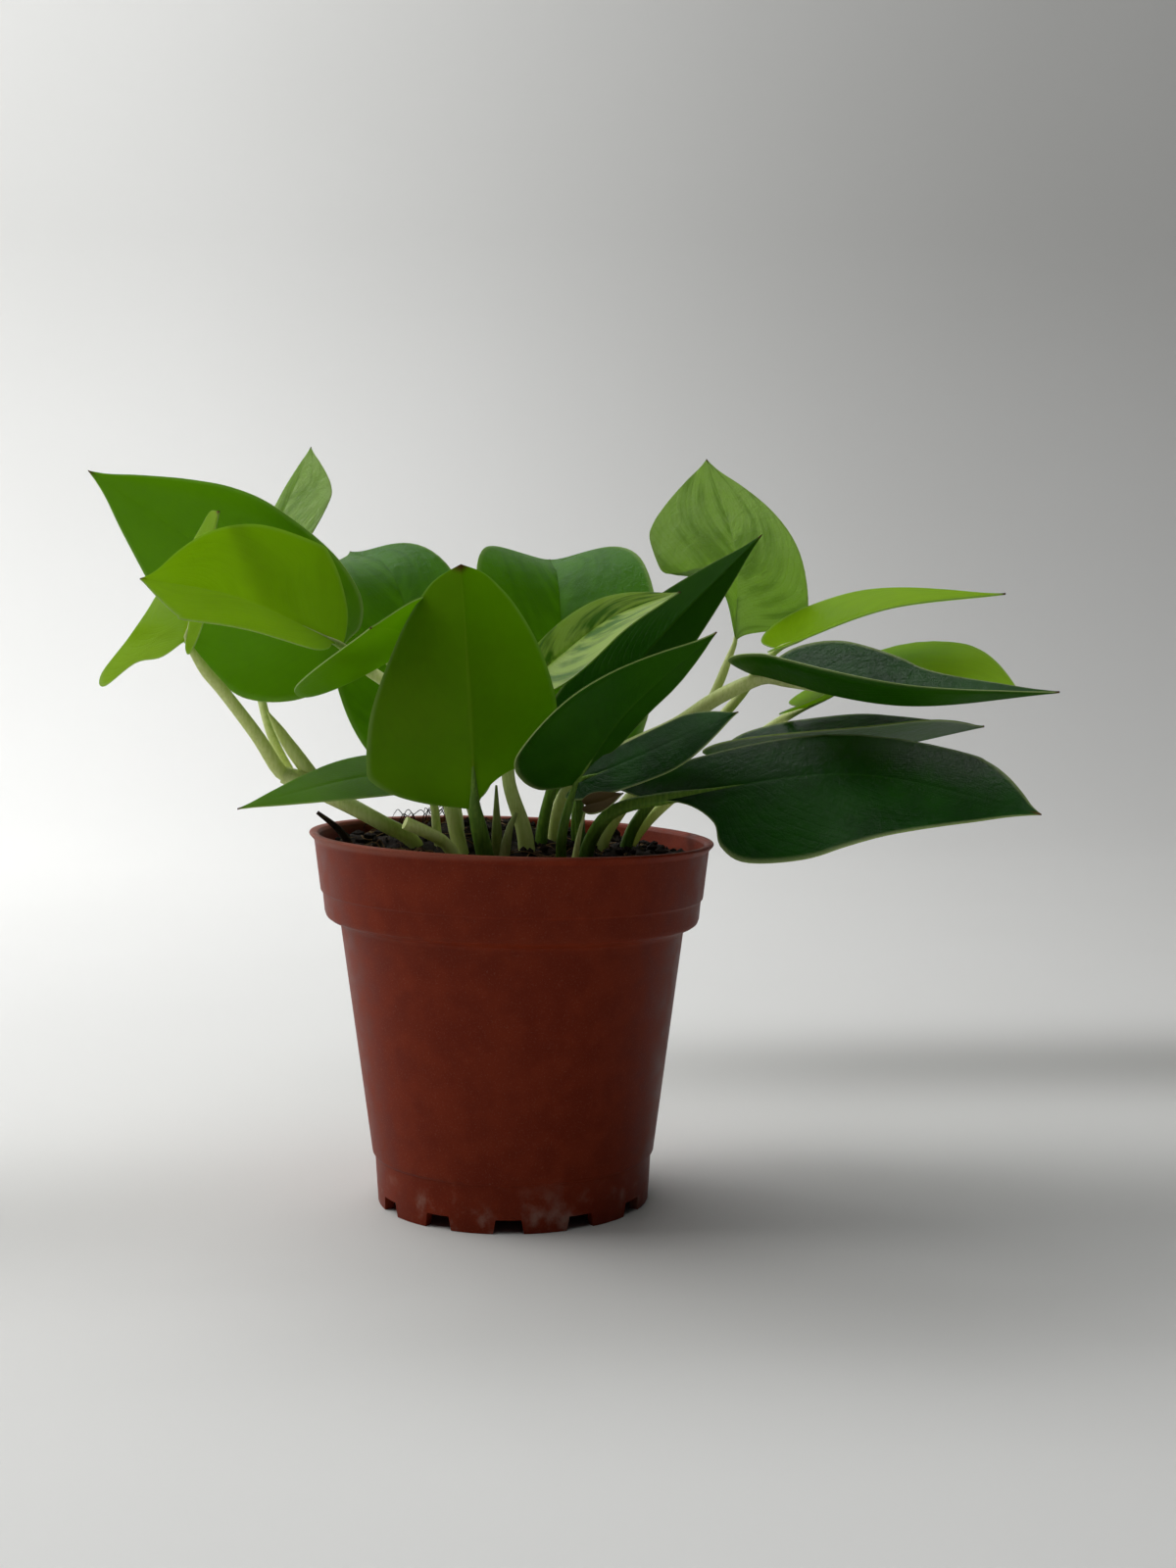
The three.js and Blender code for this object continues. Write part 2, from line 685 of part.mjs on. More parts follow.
// Loose stems that carry no blade
const STEMS = [
  {
    name: "vine_stem",
    colour: PALE_STALK,
    route: [
      [-22, -13, 86], [-25, -14, 95], [-33, -14, 100],
      [-45, -10, 106], [-51, -10, 109], [-58, -10, 112],
    ],
    radii: [1.9, 2.2],
    rooted: true,
  },
  {
    name: "vine_shoot",
    colour: PALE_STALK,
    route: [[-51, -9, 113], [-57, -9, 120], [-62, -9, 128]],
    radii: [1.5, 0.4],
    rooted: false,
  },
  {
    name: "cut_stem",
    colour: PALE_STALK,
    route: [[-10, -29, 87], [-16, -31, 96], [-20, -33, 99], [-26, -35, 102]],
    radii: [1.5, 1.5],
    rooted: true,
  },
  {
    name: "leaf_sheath_front",
    colour: PALE_STALK,
    route: [[-3, -34, 87], [-1, -33, 99], [1, -32, 104]],
    radii: [1.3, 0.8],
    rooted: true,
  },
  {
    name: "leaf_sheath_middle",
    colour: PALE_STALK,
    route: [[-4, -22, 87], [-4, -24, 99], [-4, -22, 110]],
    radii: [1.5, 0.7],
    rooted: true,
  },
  {
    name: "leaf_sheath_right",
    colour: DARK_STALK,
    route: [[17, -4, 87], [17, -4, 104], [24, -5, 117], [34, -7, 126]],
    radii: [1.3, 0.4],
    rooted: true,
  },
  {
    name: "twig",
    colour: DRY_BROWN,
    route: [[-50, -6, 102], [-45, -6, 98], [-42, -6, 94], [-40, -5, 90]],
    radii: [0.8, 1],
    rooted: true,
  },
];

// A stalk runs on to the underside of its blade and stops just short of it. Its end is a disc square to
// the stalk, so it keeps clear by as much of its radius as reaches towards the blade.
function stalkRoute({ stalk, stalkRadii, midrib, faces }) {
  const blade = new THREE.Vector3(...midrib[0]);
  const back = new THREE.Vector3(...stalk.at(-1)).sub(blade).normalize();
  const ahead = new THREE.Vector3(...midrib[1]).sub(blade).normalize();
  const underside = new THREE.Vector3(...faces).negate();
  underside.addScaledVector(ahead, -underside.dot(ahead)).normalize();
  const discReach = stalkRadii[1] * Math.sqrt(1 - back.dot(underside) ** 2);
  const end = blade.clone().addScaledVector(back, JOIN_GAP).addScaledVector(underside, JOIN_GAP + discReach);
  return [...stalk, end.toArray()];
}

// Assembly

const plant = new THREE.Group();

function addMesh(name, geometry, material) {
  geometry.computeVertexNormals();
  const mesh = new THREE.Mesh(geometry, material);
  mesh.name = name;
  plant.add(mesh);
}

const stalks = LEAVES.map((leaf) => ({
  name: leaf.name,
  route: stalkRoute(leaf),
  radii: leaf.stalkRadii,
  rooted: leaf.rooted ?? true,
}));
const rooted = [...stalks, ...STEMS].filter((stem) => stem.rooted);

addMesh("pot", potGeometry(), TERRACOTTA);
addMesh("soil", soilGeometry(rooted), PEAT);
for (const leaf of LEAVES) {
  addMesh(`leaf_${leaf.name}`, bladeGeometry(leaf), leaf.colour);
}
for (const stalk of stalks) {
  addMesh(`stalk_${stalk.name}`, tubeGeometry(stalk), PALE_STALK);
}
for (const stem of STEMS) {
  addMesh(stem.name, tubeGeometry(stem), stem.colour);
}

export default plant;
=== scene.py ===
# %% [markdown]
# A young trailing plant with thick heart-shaped leaves stands in a soft plastic nursery pot.
# The frame holds its measured pieces: the pot, the soil, twenty blades, twenty stalks and a few
# stems. Here each of them gets the form and the finish that the real one has. The frame is in
# metres, the plant's own sizes are easier to read in millimetres, so one factor turns them over.
# %% Load the frame
import json
import math

import bpy
import numpy as np
from mathutils import Matrix, Vector, noise

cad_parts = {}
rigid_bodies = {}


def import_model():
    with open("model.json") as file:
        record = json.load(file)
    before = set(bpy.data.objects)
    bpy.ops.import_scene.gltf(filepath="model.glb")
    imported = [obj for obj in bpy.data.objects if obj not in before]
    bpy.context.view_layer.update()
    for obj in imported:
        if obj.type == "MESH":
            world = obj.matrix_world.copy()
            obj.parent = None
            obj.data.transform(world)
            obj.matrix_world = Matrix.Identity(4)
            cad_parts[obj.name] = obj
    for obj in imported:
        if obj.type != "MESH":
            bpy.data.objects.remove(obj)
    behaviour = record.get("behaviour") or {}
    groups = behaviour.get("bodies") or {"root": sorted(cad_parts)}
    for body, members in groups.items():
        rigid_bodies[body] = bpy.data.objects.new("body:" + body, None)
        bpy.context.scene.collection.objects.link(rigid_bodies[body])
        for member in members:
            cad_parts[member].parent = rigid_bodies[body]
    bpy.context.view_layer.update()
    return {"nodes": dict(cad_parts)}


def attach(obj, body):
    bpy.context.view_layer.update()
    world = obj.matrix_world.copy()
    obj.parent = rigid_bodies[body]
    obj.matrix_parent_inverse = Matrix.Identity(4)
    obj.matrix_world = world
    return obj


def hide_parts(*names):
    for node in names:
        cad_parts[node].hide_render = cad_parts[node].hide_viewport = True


MM = 0.001
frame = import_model()
print("nodes in the frame:", len(frame["nodes"]))

# %% [markdown]
# Nearly every step starts from nothing selected, and most pieces end the same way: modifiers
# applied, place applied, so that a pattern that reads Object coordinates can't slide. A few small
# helpers hold what the cells below do again and again.
# %% Helpers for every piece


def select_only(*pieces):
    for other in bpy.context.view_layer.objects:
        other.select_set(False)
    for piece in pieces:
        piece.select_set(True)
        bpy.context.view_layer.objects.active = piece


def select_vertices(piece, wanted):
    """Go into edit mode with only the vertices and edges selected whose place is wanted."""
    bpy.ops.object.mode_set(mode="OBJECT")
    for vertex in piece.data.vertices:
        vertex.select = wanted(vertex.co)
    for edge in piece.data.edges:
        edge.select = all(piece.data.vertices[i].select for i in edge.vertices)
    for face in piece.data.polygons:
        face.select = False
    bpy.ops.object.mode_set(mode="EDIT")
    bpy.ops.mesh.select_mode(type="EDGE")


def outward_and_out():
    """Turn all normals of the mesh outwards and leave edit mode."""
    bpy.ops.mesh.select_all(action="SELECT")
    bpy.ops.mesh.normals_make_consistent(inside=False)
    bpy.ops.object.mode_set(mode="OBJECT")


def apply_place():
    bpy.ops.object.transform_apply(location=True, rotation=True, scale=True)


def apply_modifiers(piece):
    select_only(piece)
    for modifier in list(piece.modifiers):
        bpy.ops.object.modifier_apply(modifier=modifier.name)


def into_scene(name, data):
    thing = bpy.data.objects.new(name, data)
    bpy.context.scene.collection.objects.link(thing)
    return thing


def settle(piece, name, slot, *nodes):
    """Name a finished piece, put it in the root body and hide the CAD nodes it replaces. The slot is not
    used.
    """
    select_only(piece)
    apply_place()
    piece.name = name
    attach(piece, "root")
    if nodes:
        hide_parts(*nodes)


select_only()
print("helpers ready")

# %% [markdown]
# The photograph was taken a little above the rim and about half a metre away, looking slightly
# down and to the right. A 45 mm lens on a 36 mm frame gives its field of view.
# %% The camera
CAMERA_PLACE = Vector((0, -509, 147)) * MM
CAMERA_DOWN = math.radians(4.31)
CAMERA_RIGHT = math.radians(2.22)

camera_data = bpy.data.cameras.new("camera")
camera_data.lens = 45
camera_data.sensor_width = 36
camera_data.clip_start = 0.01
camera = into_scene("camera", camera_data)
camera.location = CAMERA_PLACE
camera.rotation_euler = (math.pi / 2 - CAMERA_DOWN, 0, -CAMERA_RIGHT)
bpy.context.scene.camera = camera
print("camera is", round(CAMERA_PLACE.length / MM), "mm from the pot's foot")

# %% [markdown]
# The surroundings are a plain pale sweep: a floor that turns up into a wall with no corner. It is
# made as a photographer makes it, from one sheet. A plane's far edge is extruded along the bend
# and then straight up.
# %% The pale sweep
FLOOR_FRONT = -2.2
FLOOR_BACK = 0.75
FLOOR_HALF_WIDTH = 2.4
BEND_RADIUS = 0.5
BEND_STEPS = 12
WALL_TOP = 2.6
NEAR_ENOUGH = 0.01

select_only()
bpy.ops.mesh.primitive_plane_add(size=1, location=(0, (FLOOR_FRONT + FLOOR_BACK) / 2, 0))
sweep = bpy.context.object
sweep.scale = (2 * FLOOR_HALF_WIDTH, FLOOR_BACK - FLOOR_FRONT, 1)
apply_place()
select_vertices(sweep, lambda place: place.y > FLOOR_BACK - NEAR_ENOUGH)
for step in range(BEND_STEPS):
    turn = [math.pi / 2 * (step + k) / BEND_STEPS for k in (0, 1)]
    forward = BEND_RADIUS * (math.sin(turn[1]) - math.sin(turn[0]))
    upward = BEND_RADIUS * (math.cos(turn[0]) - math.cos(turn[1]))
    bpy.ops.mesh.extrude_edges_move(TRANSFORM_OT_translate={"value": (0, forward, upward)})
bpy.ops.mesh.extrude_edges_move(TRANSFORM_OT_translate={"value": (0, 0, WALL_TOP - BEND_RADIUS)})
bpy.ops.object.mode_set(mode="OBJECT")
bpy.ops.object.shade_smooth()
sweep.name = "sweep"
print("sweep has", len(sweep.data.polygons), "faces")

# %% [markdown]
# The light is that of a large soft window behind and to the left. It shines through the leaves,
# rims the pot's left side and leaves the front rather dark. A weaker broad lamp from behind and one
# from above the front fill it up, and a small one brightens the wall at the left. Each is an area
# light, with its place and sizes in metres, turned to look at what it lights.
# %% The lights
PLANT_MIDDLE = Vector((0, 0, 120)) * MM
WALL_LEFT = Vector((-450, 1250, 650)) * MM
LAMPS = [
    dict(name="window", place=(-1.5, 0.45, 1.25), aim=PLANT_MIDDLE, size=(1.6, 1.6), watts=28.5,
         tint=(1.0, 0.995, 0.98)),
    dict(name="back_light", place=(-0.2, 1.05, 1.75), aim=PLANT_MIDDLE, size=(1.4, 0.8), watts=15,
         tint=(0.97, 0.98, 1.0)),
    dict(name="overhead", place=(-0.3, -0.6, 1.9), aim=PLANT_MIDDLE, size=(1.6, 1.2), watts=9,
         tint=(0.99, 1.0, 0.99)),
    dict(name="wall_light", place=(-1.1, 0.35, 1.1), aim=WALL_LEFT, size=(0.5, 0.9), watts=2.2,
         tint=(0.97, 0.99, 1.0)),
]


def area_lamp(name, place, aim, size, watts, tint):
    data = bpy.data.lights.new(name, "AREA")
    data.shape = "RECTANGLE"
    data.size, data.size_y = size
    data.energy = watts
    data.color = tint
    lamp = into_scene(name, data)
    lamp.location = place
    lamp.rotation_euler = (aim - Vector(place)).to_track_quat("-Z", "Y").to_euler()


for lamp in LAMPS:
    area_lamp(**lamp)
world = bpy.data.worlds.new("studio")
bpy.context.scene.world = world
world.use_nodes = True
background = world.node_tree.nodes["Background"].inputs
background["Color"].default_value = (0.85, 0.86, 0.88, 1)
background["Strength"].default_value = 0.03
bpy.context.scene.view_settings.view_transform = "Standard"

# %% [markdown]
# Materials are node trees. A short class keeps their making readable: `add` places a node and
# links or sets its sockets in one line, and each material below is then a list of such lines.
# %% A small kit for node trees


class Nodes:
    def __init__(self, tree):
        self.tree = tree

    def add(self, kind, settings=None, **sockets):
        """Place a node. A socket is named in lower case, and takes a value or another socket."""
        node = self.tree.nodes.new(kind)
        for key, value in (settings or {}).items():
            setattr(node, key, value)
        return self.set(node, **sockets)

    def set(self, node, **sockets):
        for key, value in sockets.items():
            self.feed(self.find(node, key), value)
        return node

    @staticmethod
    def find(node, key):
        if key.startswith("i") and key[1:].isdigit():
            return node.inputs[int(key[1:])]
        return next(s for s in node.inputs if s.enabled and s.name.lower().replace(" ", "_") == key)

    def feed(self, socket, value):
        if isinstance(value, bpy.types.NodeSocket):
            self.tree.links.new(value, socket)
        elif socket.type == "RGBA":
            socket.default_value = (*value, 1.0)
        else:
            socket.default_value = value

    def math(self, operation, a, b=0.0, clamp=False):
        settings = {"operation": operation, "use_clamp": clamp}
        return self.add("ShaderNodeMath", settings, i0=a, i1=b).outputs[0]

    def times(self, a, b):
        return self.math("MULTIPLY", a, b)

    def axes(self, vector):
        return self.add("ShaderNodeSeparateXYZ", vector=vector).outputs

    def between(self, value, low, high):
        """0 below low, 1 above high, smooth between them."""
        settings = {"interpolation_type": "SMOOTHSTEP"}
        return self.add("ShaderNodeMapRange", settings, i0=value, i1=low, i2=high).outputs[0]

    def mix(self, share, a, b):
        return self.add("ShaderNodeMix", {"data_type": "RGBA"}, i0=share, i6=a, i7=b).outputs[2]

    def noise(self, vector, scale, detail=3.0, rough=0.55):
        sockets = dict(vector=vector, scale=scale, detail=detail, roughness=rough)
        return self.add("ShaderNodeTexNoise", **sockets).outputs[0]

    def bump(self, strength, distance, height):
        return self.add("ShaderNodeBump", strength=strength, distance=distance, height=height).outputs[0]

    def object_place(self):
        return self.tree.nodes.new("ShaderNodeTexCoord").outputs["Object"]


def new_group(name, inputs, outputs):
    tree = bpy.data.node_groups.new(name, "ShaderNodeTree")
    for in_out, sockets in (("INPUT", inputs), ("OUTPUT", outputs)):
        for label in sockets:
            tree.interface.new_socket(name=label, in_out=in_out, socket_type="NodeSocketFloat")
    return Nodes(tree), tree.nodes.new("NodeGroupInput").outputs, tree.nodes.new("NodeGroupOutput")


def new_material(name):
    material = bpy.data.materials.new(name)
    material.use_nodes = True
    nodes = Nodes(material.node_tree)
    return material, nodes, material.node_tree.nodes["Principled BSDF"]


def let_light_through(material, nodes, shader, glow, share):
    """Mix a Translucent shader into a material, so that light from behind shines through."""
    beyond = nodes.add("ShaderNodeBsdfTranslucent", color=glow)
    both = nodes.add("ShaderNodeMixShader", i0=share, i1=shader.outputs[0], i2=beyond.outputs[0])
    nodes.feed(material.node_tree.nodes["Material Output"].inputs["Surface"], both.outputs[0])


def use_group(nodes, name, **sockets):
    return nodes.add("ShaderNodeGroup", {"node_tree": bpy.data.node_groups[name]}, **sockets).outputs


print("node kit ready")

# %% [markdown]
# The sweep is matt paper: nearly white, with a faint unevenness so that it isn't a dead flat grey.
# Painted into its colour are two broad soft shadow bands across the floor, one at the pot and one
# behind it to the right, and painted shade that darkens the paper slowly to the right. All are so
# blurred that they read as soft shadows. Places are in metres, and each band has its place, its width and its
# strength.
# %% The paper's finish
# Painted shadow bands on the floor, then the painted shade that grows towards the right
SHADOW_BAND_AT_POT = (-0.022, 0.065, 0.24)
SHADOW_BAND_BEHIND = (0.15, 0.055, 0.36)
FAR_SHADOW_FADES_IN = (-0.1, 0.15)
PAINTED_SHADE_FROM_TO = (-0.35, 0.5)
PAINTED_SHADE_BY = 0.34


# A soft bell of painted shadow across the floor, at a given distance from the front
def painted_shadow_band(nodes, distance, middle, width, strength):
    away = nodes.math("DIVIDE", nodes.math("SUBTRACT", distance, middle), width)
    bell = nodes.math("POWER", math.e, nodes.times(nodes.times(away, away), -1.0))
    return nodes.times(bell, strength)


material, nodes, shader = new_material("pale_paper")
place = nodes.object_place()
x, y, _ = nodes.axes(place)
paper = nodes.mix(nodes.noise(place, 3.0, 2.0), (0.79, 0.79, 0.775), (0.84, 0.84, 0.83))
# Painted shadow behind the pot on the right, painted shadow at the pot, and painted shade to the right
painted_far_shadow = nodes.times(painted_shadow_band(nodes, y, *SHADOW_BAND_BEHIND), nodes.between(x, *FAR_SHADOW_FADES_IN))
shade = nodes.math("ADD", painted_shadow_band(nodes, y, *SHADOW_BAND_AT_POT), painted_far_shadow, clamp=True)
painted_fall_off = nodes.times(nodes.between(x, *PAINTED_SHADE_FROM_TO), PAINTED_SHADE_BY)
shade = nodes.math("ADD", shade, painted_fall_off, clamp=True)
# Where the painted shadows and shade fall, the paper turns towards this dark grey-brown
paper = nodes.mix(shade, paper, (0.1, 0.097, 0.088))
nodes.set(shader, base_color=paper, roughness=0.9, specular_ior_level=0.1)
sweep.data.materials.append(material)
print("paper on", sweep.name)

# %% [markdown]
# The pot and the stalks share a fine grain: a node group that puts out a mask of small specks, a
# soft large cloud and a height for the bump.
# %% A group for grain
nodes, given, result = new_group("grain", ["Scale"], ["Specks", "Cloud", "Height"])
place = nodes.object_place()
fine = nodes.noise(place, given["Scale"], 2.0)
cloud = nodes.noise(place, nodes.times(given["Scale"], 0.06), 4.0)
nodes.set(result, specks=nodes.between(fine, 0.55, 0.72), cloud=nodes.between(cloud, 0.3, 0.7), height=fine)
print("groups:", [g.name for g in bpy.data.node_groups])

# %% [markdown]
# The pot is thin moulded plastic in terracotta brown. Up close it isn't one colour: the surface has a
# fine grain, large faint clouds, dust low down and a paler line on the lip, partly wear, partly painted
# highlight.
# %% The pot's plastic
POT_HEIGHT = 95.5 * MM

material, nodes, shader = new_material("terracotta_plastic")
place = nodes.object_place()
grain = use_group(nodes, "grain", scale=2600.0)
height_share = nodes.math("DIVIDE", nodes.axes(place)[2], POT_HEIGHT)
brown = nodes.mix(grain["Cloud"], (0.16, 0.016, 0.003), (0.2, 0.024, 0.006))
brown = nodes.mix(nodes.times(grain["Specks"], 0.13), brown, (0.42, 0.17, 0.11))
dust_patches = nodes.between(nodes.noise(place, 160.0, 4.0), 0.5, 0.75)
dust = nodes.times(nodes.times(nodes.between(height_share, 0.16, 0.0), dust_patches), 0.5)
brown = nodes.mix(dust, brown, (0.4, 0.3, 0.25))
# A paler line along the top of the lip: partly wear, partly a painted highlight where the edge catches the
# light
lip_wear_and_highlight = nodes.between(height_share, 0.985, 1.0)
brown = nodes.mix(nodes.times(lip_wear_and_highlight, 0.22), brown, (0.45, 0.2, 0.14))
scuffs = nodes.between(nodes.noise(place, 420.0, 6.0, 0.7), 0.68, 0.75)
brown = nodes.mix(nodes.times(scuffs, 0.35), brown, (0.5, 0.33, 0.28))
rough = nodes.math("ADD", nodes.times(grain["Cloud"], 0.12), 0.42)
nodes.set(shader, base_color=brown, roughness=rough, specular_ior_level=0.09,
          normal=nodes.bump(0.25, 0.00012, grain["Height"]))
pot_plastic = material
print("made", pot_plastic.name)

# %% [markdown]
# The pot is a turned shape, so it is drawn as a potter throws it: a circle at the foot is extruded
# and resized ring by ring, up the outside, over the lip and down the inside. One list holds the
# rings from the foot outwards as radius and height. A bevel then rounds every corner a little.
# %% The pot's wall
FOOT_RADIUS = 35.5
RIM_LEAN = math.radians(2)
POT_SIDES = 160
FOOT_HEIGHT = 3.6
FLOOR_TOP = 5.1
CORNER_ROUNDING = 0.18
TOUCHING = 0.01
POT_RINGS = [
    (35.5, 0.0), (36.2, 12.2), (36.5, 12.5), (36.9, 13.0), (44.6, 71.5), (45.0, 72.4), (45.6, 73.0),
    (47.5, 73.6), (48.3, 74.2), (48.7, 75.4), (49.1, 79.6), (49.3, 80.3), (49.7, 80.7), (51.2, 93.4),
    (51.9, 94.2), (52.5, 94.9), (52.3, 95.4), (51.6, 95.5), (50.4, 95.2), (49.9, 94.4), (48.5, 81.0),
    (47.9, 79.0), (47.3, 76.2), (43.6, 73.0), (34.9, 5.6), (34.4, 5.1), (0.4, 5.1),
]
UNDERSIDE_RINGS = [(33.1, 0.0), (33.1, 3.6), (12.0, 3.6), (12.0, 0.0), (0.4, 0.0)]


def extrude_rings(rings, start_radius, start_height):
    """Extrude the selected ring of edges through each (radius, height) in millimetres."""
    radius, height = start_radius, start_height
    for next_radius, next_height in rings:
        rise = (next_height - height) * MM
        bpy.ops.mesh.extrude_edges_move(TRANSFORM_OT_translate={"value": (0, 0, rise)})
        share = next_radius / radius
        bpy.ops.transform.resize(value=(share, share, 1), center_override=(0, 0, next_height * MM))
        radius, height = next_radius, next_height


def select_ring(piece, radius, height):
    def on_the_ring(place):
        return abs(math.hypot(place.x, place.y) - radius * MM) + abs(place.z - height * MM) < TOUCHING * MM

    select_vertices(piece, on_the_ring)


select_only()
bpy.ops.mesh.primitive_circle_add(vertices=POT_SIDES, radius=FOOT_RADIUS * MM, fill_type="NOTHING")
pot = bpy.context.object
select_ring(pot, FOOT_RADIUS, 0)
extrude_rings(POT_RINGS[1:], FOOT_RADIUS, 0)
bpy.ops.mesh.edge_face_add()
select_ring(pot, FOOT_RADIUS, 0)
extrude_rings(UNDERSIDE_RINGS, FOOT_RADIUS, 0)
bpy.ops.mesh.edge_face_add()
outward_and_out()
rounding = pot.modifiers.new("rounding", "BEVEL")
rounding.width = CORNER_ROUNDING * MM
rounding.segments = 2
rounding.limit_method = "ANGLE"
rounding.angle_limit = math.radians(24)
apply_modifiers(pot)
print("pot wall:", len(pot.data.polygons), "faces")

# %% [markdown]
# Twelve notches in the foot ring let water out under the pot, and round holes go through the floor.
# Both are cut with a boolean, because they cross many faces of the turned wall. One notch cutter is
# a cube with its top edge drawn in; it is copied round the axis.
# %% The pot's notches and holes
NOTCHES = 12
NOTCH_WIDTH = 8
NOTCH_DEPTH = 8
NOTCH_BELOW = 1
NOTCH_TOP_SHARE = 0.8
NOTCH_TURN = math.radians(2)
DRAIN_HOLES = 6
DRAIN_HOLE_RADIUS = 3
DRAIN_CIRCLE = 22
HOLE_SIDES = 20
HOLE_CUTTER_LENGTH = 20


def copies_round_axis(piece, count, first_turn):
    """Copies of a piece turned about the pot's axis, joined into one."""
    copies = []
    for i in range(count):
        copy = piece.copy()
        copy.data = piece.data.copy()
        copy.data.transform(Matrix.Rotation(first_turn + 2 * math.pi * i / count, 4, "Z"))
        bpy.context.scene.collection.objects.link(copy)
        copies.append(copy)
    bpy.data.objects.remove(piece)
    select_only(*copies)
    bpy.ops.object.join()
    return bpy.context.object


def cut(piece, cutter):
    boolean = piece.modifiers.new("cut", "BOOLEAN")
    boolean.operation = "DIFFERENCE"
    boolean.solver = "EXACT"
    boolean.object = cutter
    apply_modifiers(piece)
    bpy.data.objects.remove(cutter)


select_only()
bpy.ops.mesh.primitive_cube_add(size=1, location=(0, -FOOT_RADIUS * MM, (FOOT_HEIGHT - NOTCH_BELOW) / 2 * MM))
notch = bpy.context.object
notch.scale = (NOTCH_WIDTH * MM, NOTCH_DEPTH * MM, (FOOT_HEIGHT + NOTCH_BELOW) * MM)
apply_place()
for vertex in notch.data.vertices:
    if vertex.co.z > 0.5 * FOOT_HEIGHT * MM:
        vertex.co.x *= NOTCH_TOP_SHARE
cut(pot, copies_round_axis(notch, NOTCHES, -NOTCH_TURN))
select_only()
bpy.ops.mesh.primitive_cylinder_add(vertices=HOLE_SIDES, radius=DRAIN_HOLE_RADIUS * MM,
                                    depth=HOLE_CUTTER_LENGTH * MM,
                                    location=(DRAIN_CIRCLE * MM, 0, FLOOR_TOP * MM))
hole = bpy.context.object
apply_place()
cut(pot, copies_round_axis(hole, DRAIN_HOLES, math.pi / DRAIN_HOLES))


def lean(piece):
    """The soft rim sits a little lower on the right, and the base stays level."""
    for vertex in piece.data.vertices:
        vertex.co.z -= vertex.co.x * math.tan(RIM_LEAN) * vertex.co.z / POT_HEIGHT


lean(pot)
select_only(pot)
bpy.ops.object.shade_smooth_by_angle(angle=math.radians(32))
pot.data.materials.append(pot_plastic)
settle(pot, "pot_moulded", "pot_plastic", "pot")
print("pot:", len(pot.data.polygons), "faces")

# %% [markdown]
# Peat is nearly black when it is moist, with brown crumbs and pale threads. Its colour changes from
# crumb to crumb, so a noise chooses between three browns.
# %% The peat's finish


def peat_material(name, darkest, middle, palest, crumb_scale):
    material, nodes, shader = new_material(name)
    place = nodes.object_place()
    coarse = nodes.noise(place, crumb_scale, 6.0, 0.7)
    earth = nodes.mix(nodes.between(coarse, 0.35, 0.55), darkest, middle)
    earth = nodes.mix(nodes.between(coarse, 0.6, 0.8), earth, palest)
    rough_height = nodes.noise(place, crumb_scale * 2.2, 6.0, 0.75)
    nodes.set(shader, base_color=earth, roughness=0.95, specular_ior_level=0.2,
              normal=nodes.bump(0.9, 0.0006, rough_height))
    return material


peat = peat_material("peat", (0.004, 0.0025, 0.0015), (0.015, 0.008, 0.004), (0.042, 0.022, 0.01), 600.0)
fibre_brown = peat_material("fibre", (0.1, 0.055, 0.024), (0.2, 0.12, 0.055), (0.34, 0.22, 0.11), 500.0)
print("made", peat.name, "and", fibre_brown.name)

# %% [markdown]
# The soil fills the pot up to just under the rim and is heaped round the stems. Its side follows
# the inside of the pot, so it is extruded ring by ring too. The top is a set of closer rings that
# are then lifted by a heap, some lumps and a fine noise, as loose peat lies.
# %% The soil
SOIL_EDGE = 89.5
SOIL_SIDES = 120
SOIL_TOP_RINGS = 40
SOIL_SIDE = [(34.0, 5.5), (43.3, 73.0), (46.9, 76.2), (47.5, 79.0), (48.1, 81.0), (49.0, 89.5)]
PEAT_GRAIN = 0.9
HEAP_HEIGHT = 7.5
HEAP_SPREAD = 34
HEAP_MIDDLE = (-6, 6)


def soil_height(x, y):
    """Height of the soil's surface over a point, all in millimetres."""
    heap = HEAP_HEIGHT * math.exp(-math.dist((x, y), HEAP_MIDDLE) ** 2 / HEAP_SPREAD ** 2)
    lumps = 0.9 * (math.sin(x * 0.35 + 1) * math.cos(y * 0.3) + 0.6 * math.sin(x * 0.6 - y * 0.5))
    return SOIL_EDGE + heap + lumps


def leaned_height(x, z):
    return z - x * math.tan(RIM_LEAN) * z * MM / POT_HEIGHT


select_only()
bpy.ops.mesh.primitive_circle_add(vertices=SOIL_SIDES, radius=SOIL_SIDE[0][0] * MM, fill_type="NGON",
                                  location=(0, 0, SOIL_SIDE[0][1] * MM))
soil = bpy.context.object
apply_place()
select_ring(soil, *SOIL_SIDE[0])
edge_radius = SOIL_SIDE[-1][0]
top_rings = [(edge_radius * (1 - (k + 1) / SOIL_TOP_RINGS) + 0.2, SOIL_EDGE) for k in range(SOIL_TOP_RINGS)]
extrude_rings(SOIL_SIDE[1:] + top_rings, *SOIL_SIDE[0])
bpy.ops.mesh.edge_face_add()
outward_and_out()
for vertex in soil.data.vertices:
    x, y, z = vertex.co / MM
    if z > SOIL_EDGE - TOUCHING:
        calm = min(1.0, (edge_radius - math.hypot(x, y)) / 3 + 0.2)
        crumbs = noise.fractal(Vector((x, y, 0)) * 0.45, 0.9, 2.0, 4) * PEAT_GRAIN
        vertex.co.z = (soil_height(x, y) + crumbs * calm) * MM
lean(soil)
soil.data.materials.append(peat)
select_only(soil)
bpy.ops.object.shade_smooth()
settle(soil, "peat_bed", "peat", "soil")
print("soil:", len(soil.data.polygons), "faces")

# %% [markdown]
# Loose crumbs lie on the bed. Each is a small ball of twenty faces that is squashed and knocked out
# of round, and a seeded random generator strews them, so every run strews them alike.
# %% Crumbs of peat
CRUMBS = 620
CRUMB_SIZES = (0.5, 2.0)
CRUMB_LIFT = 0.25
STREWN_RADIUS = 46.5
random = np.random.default_rng(11)

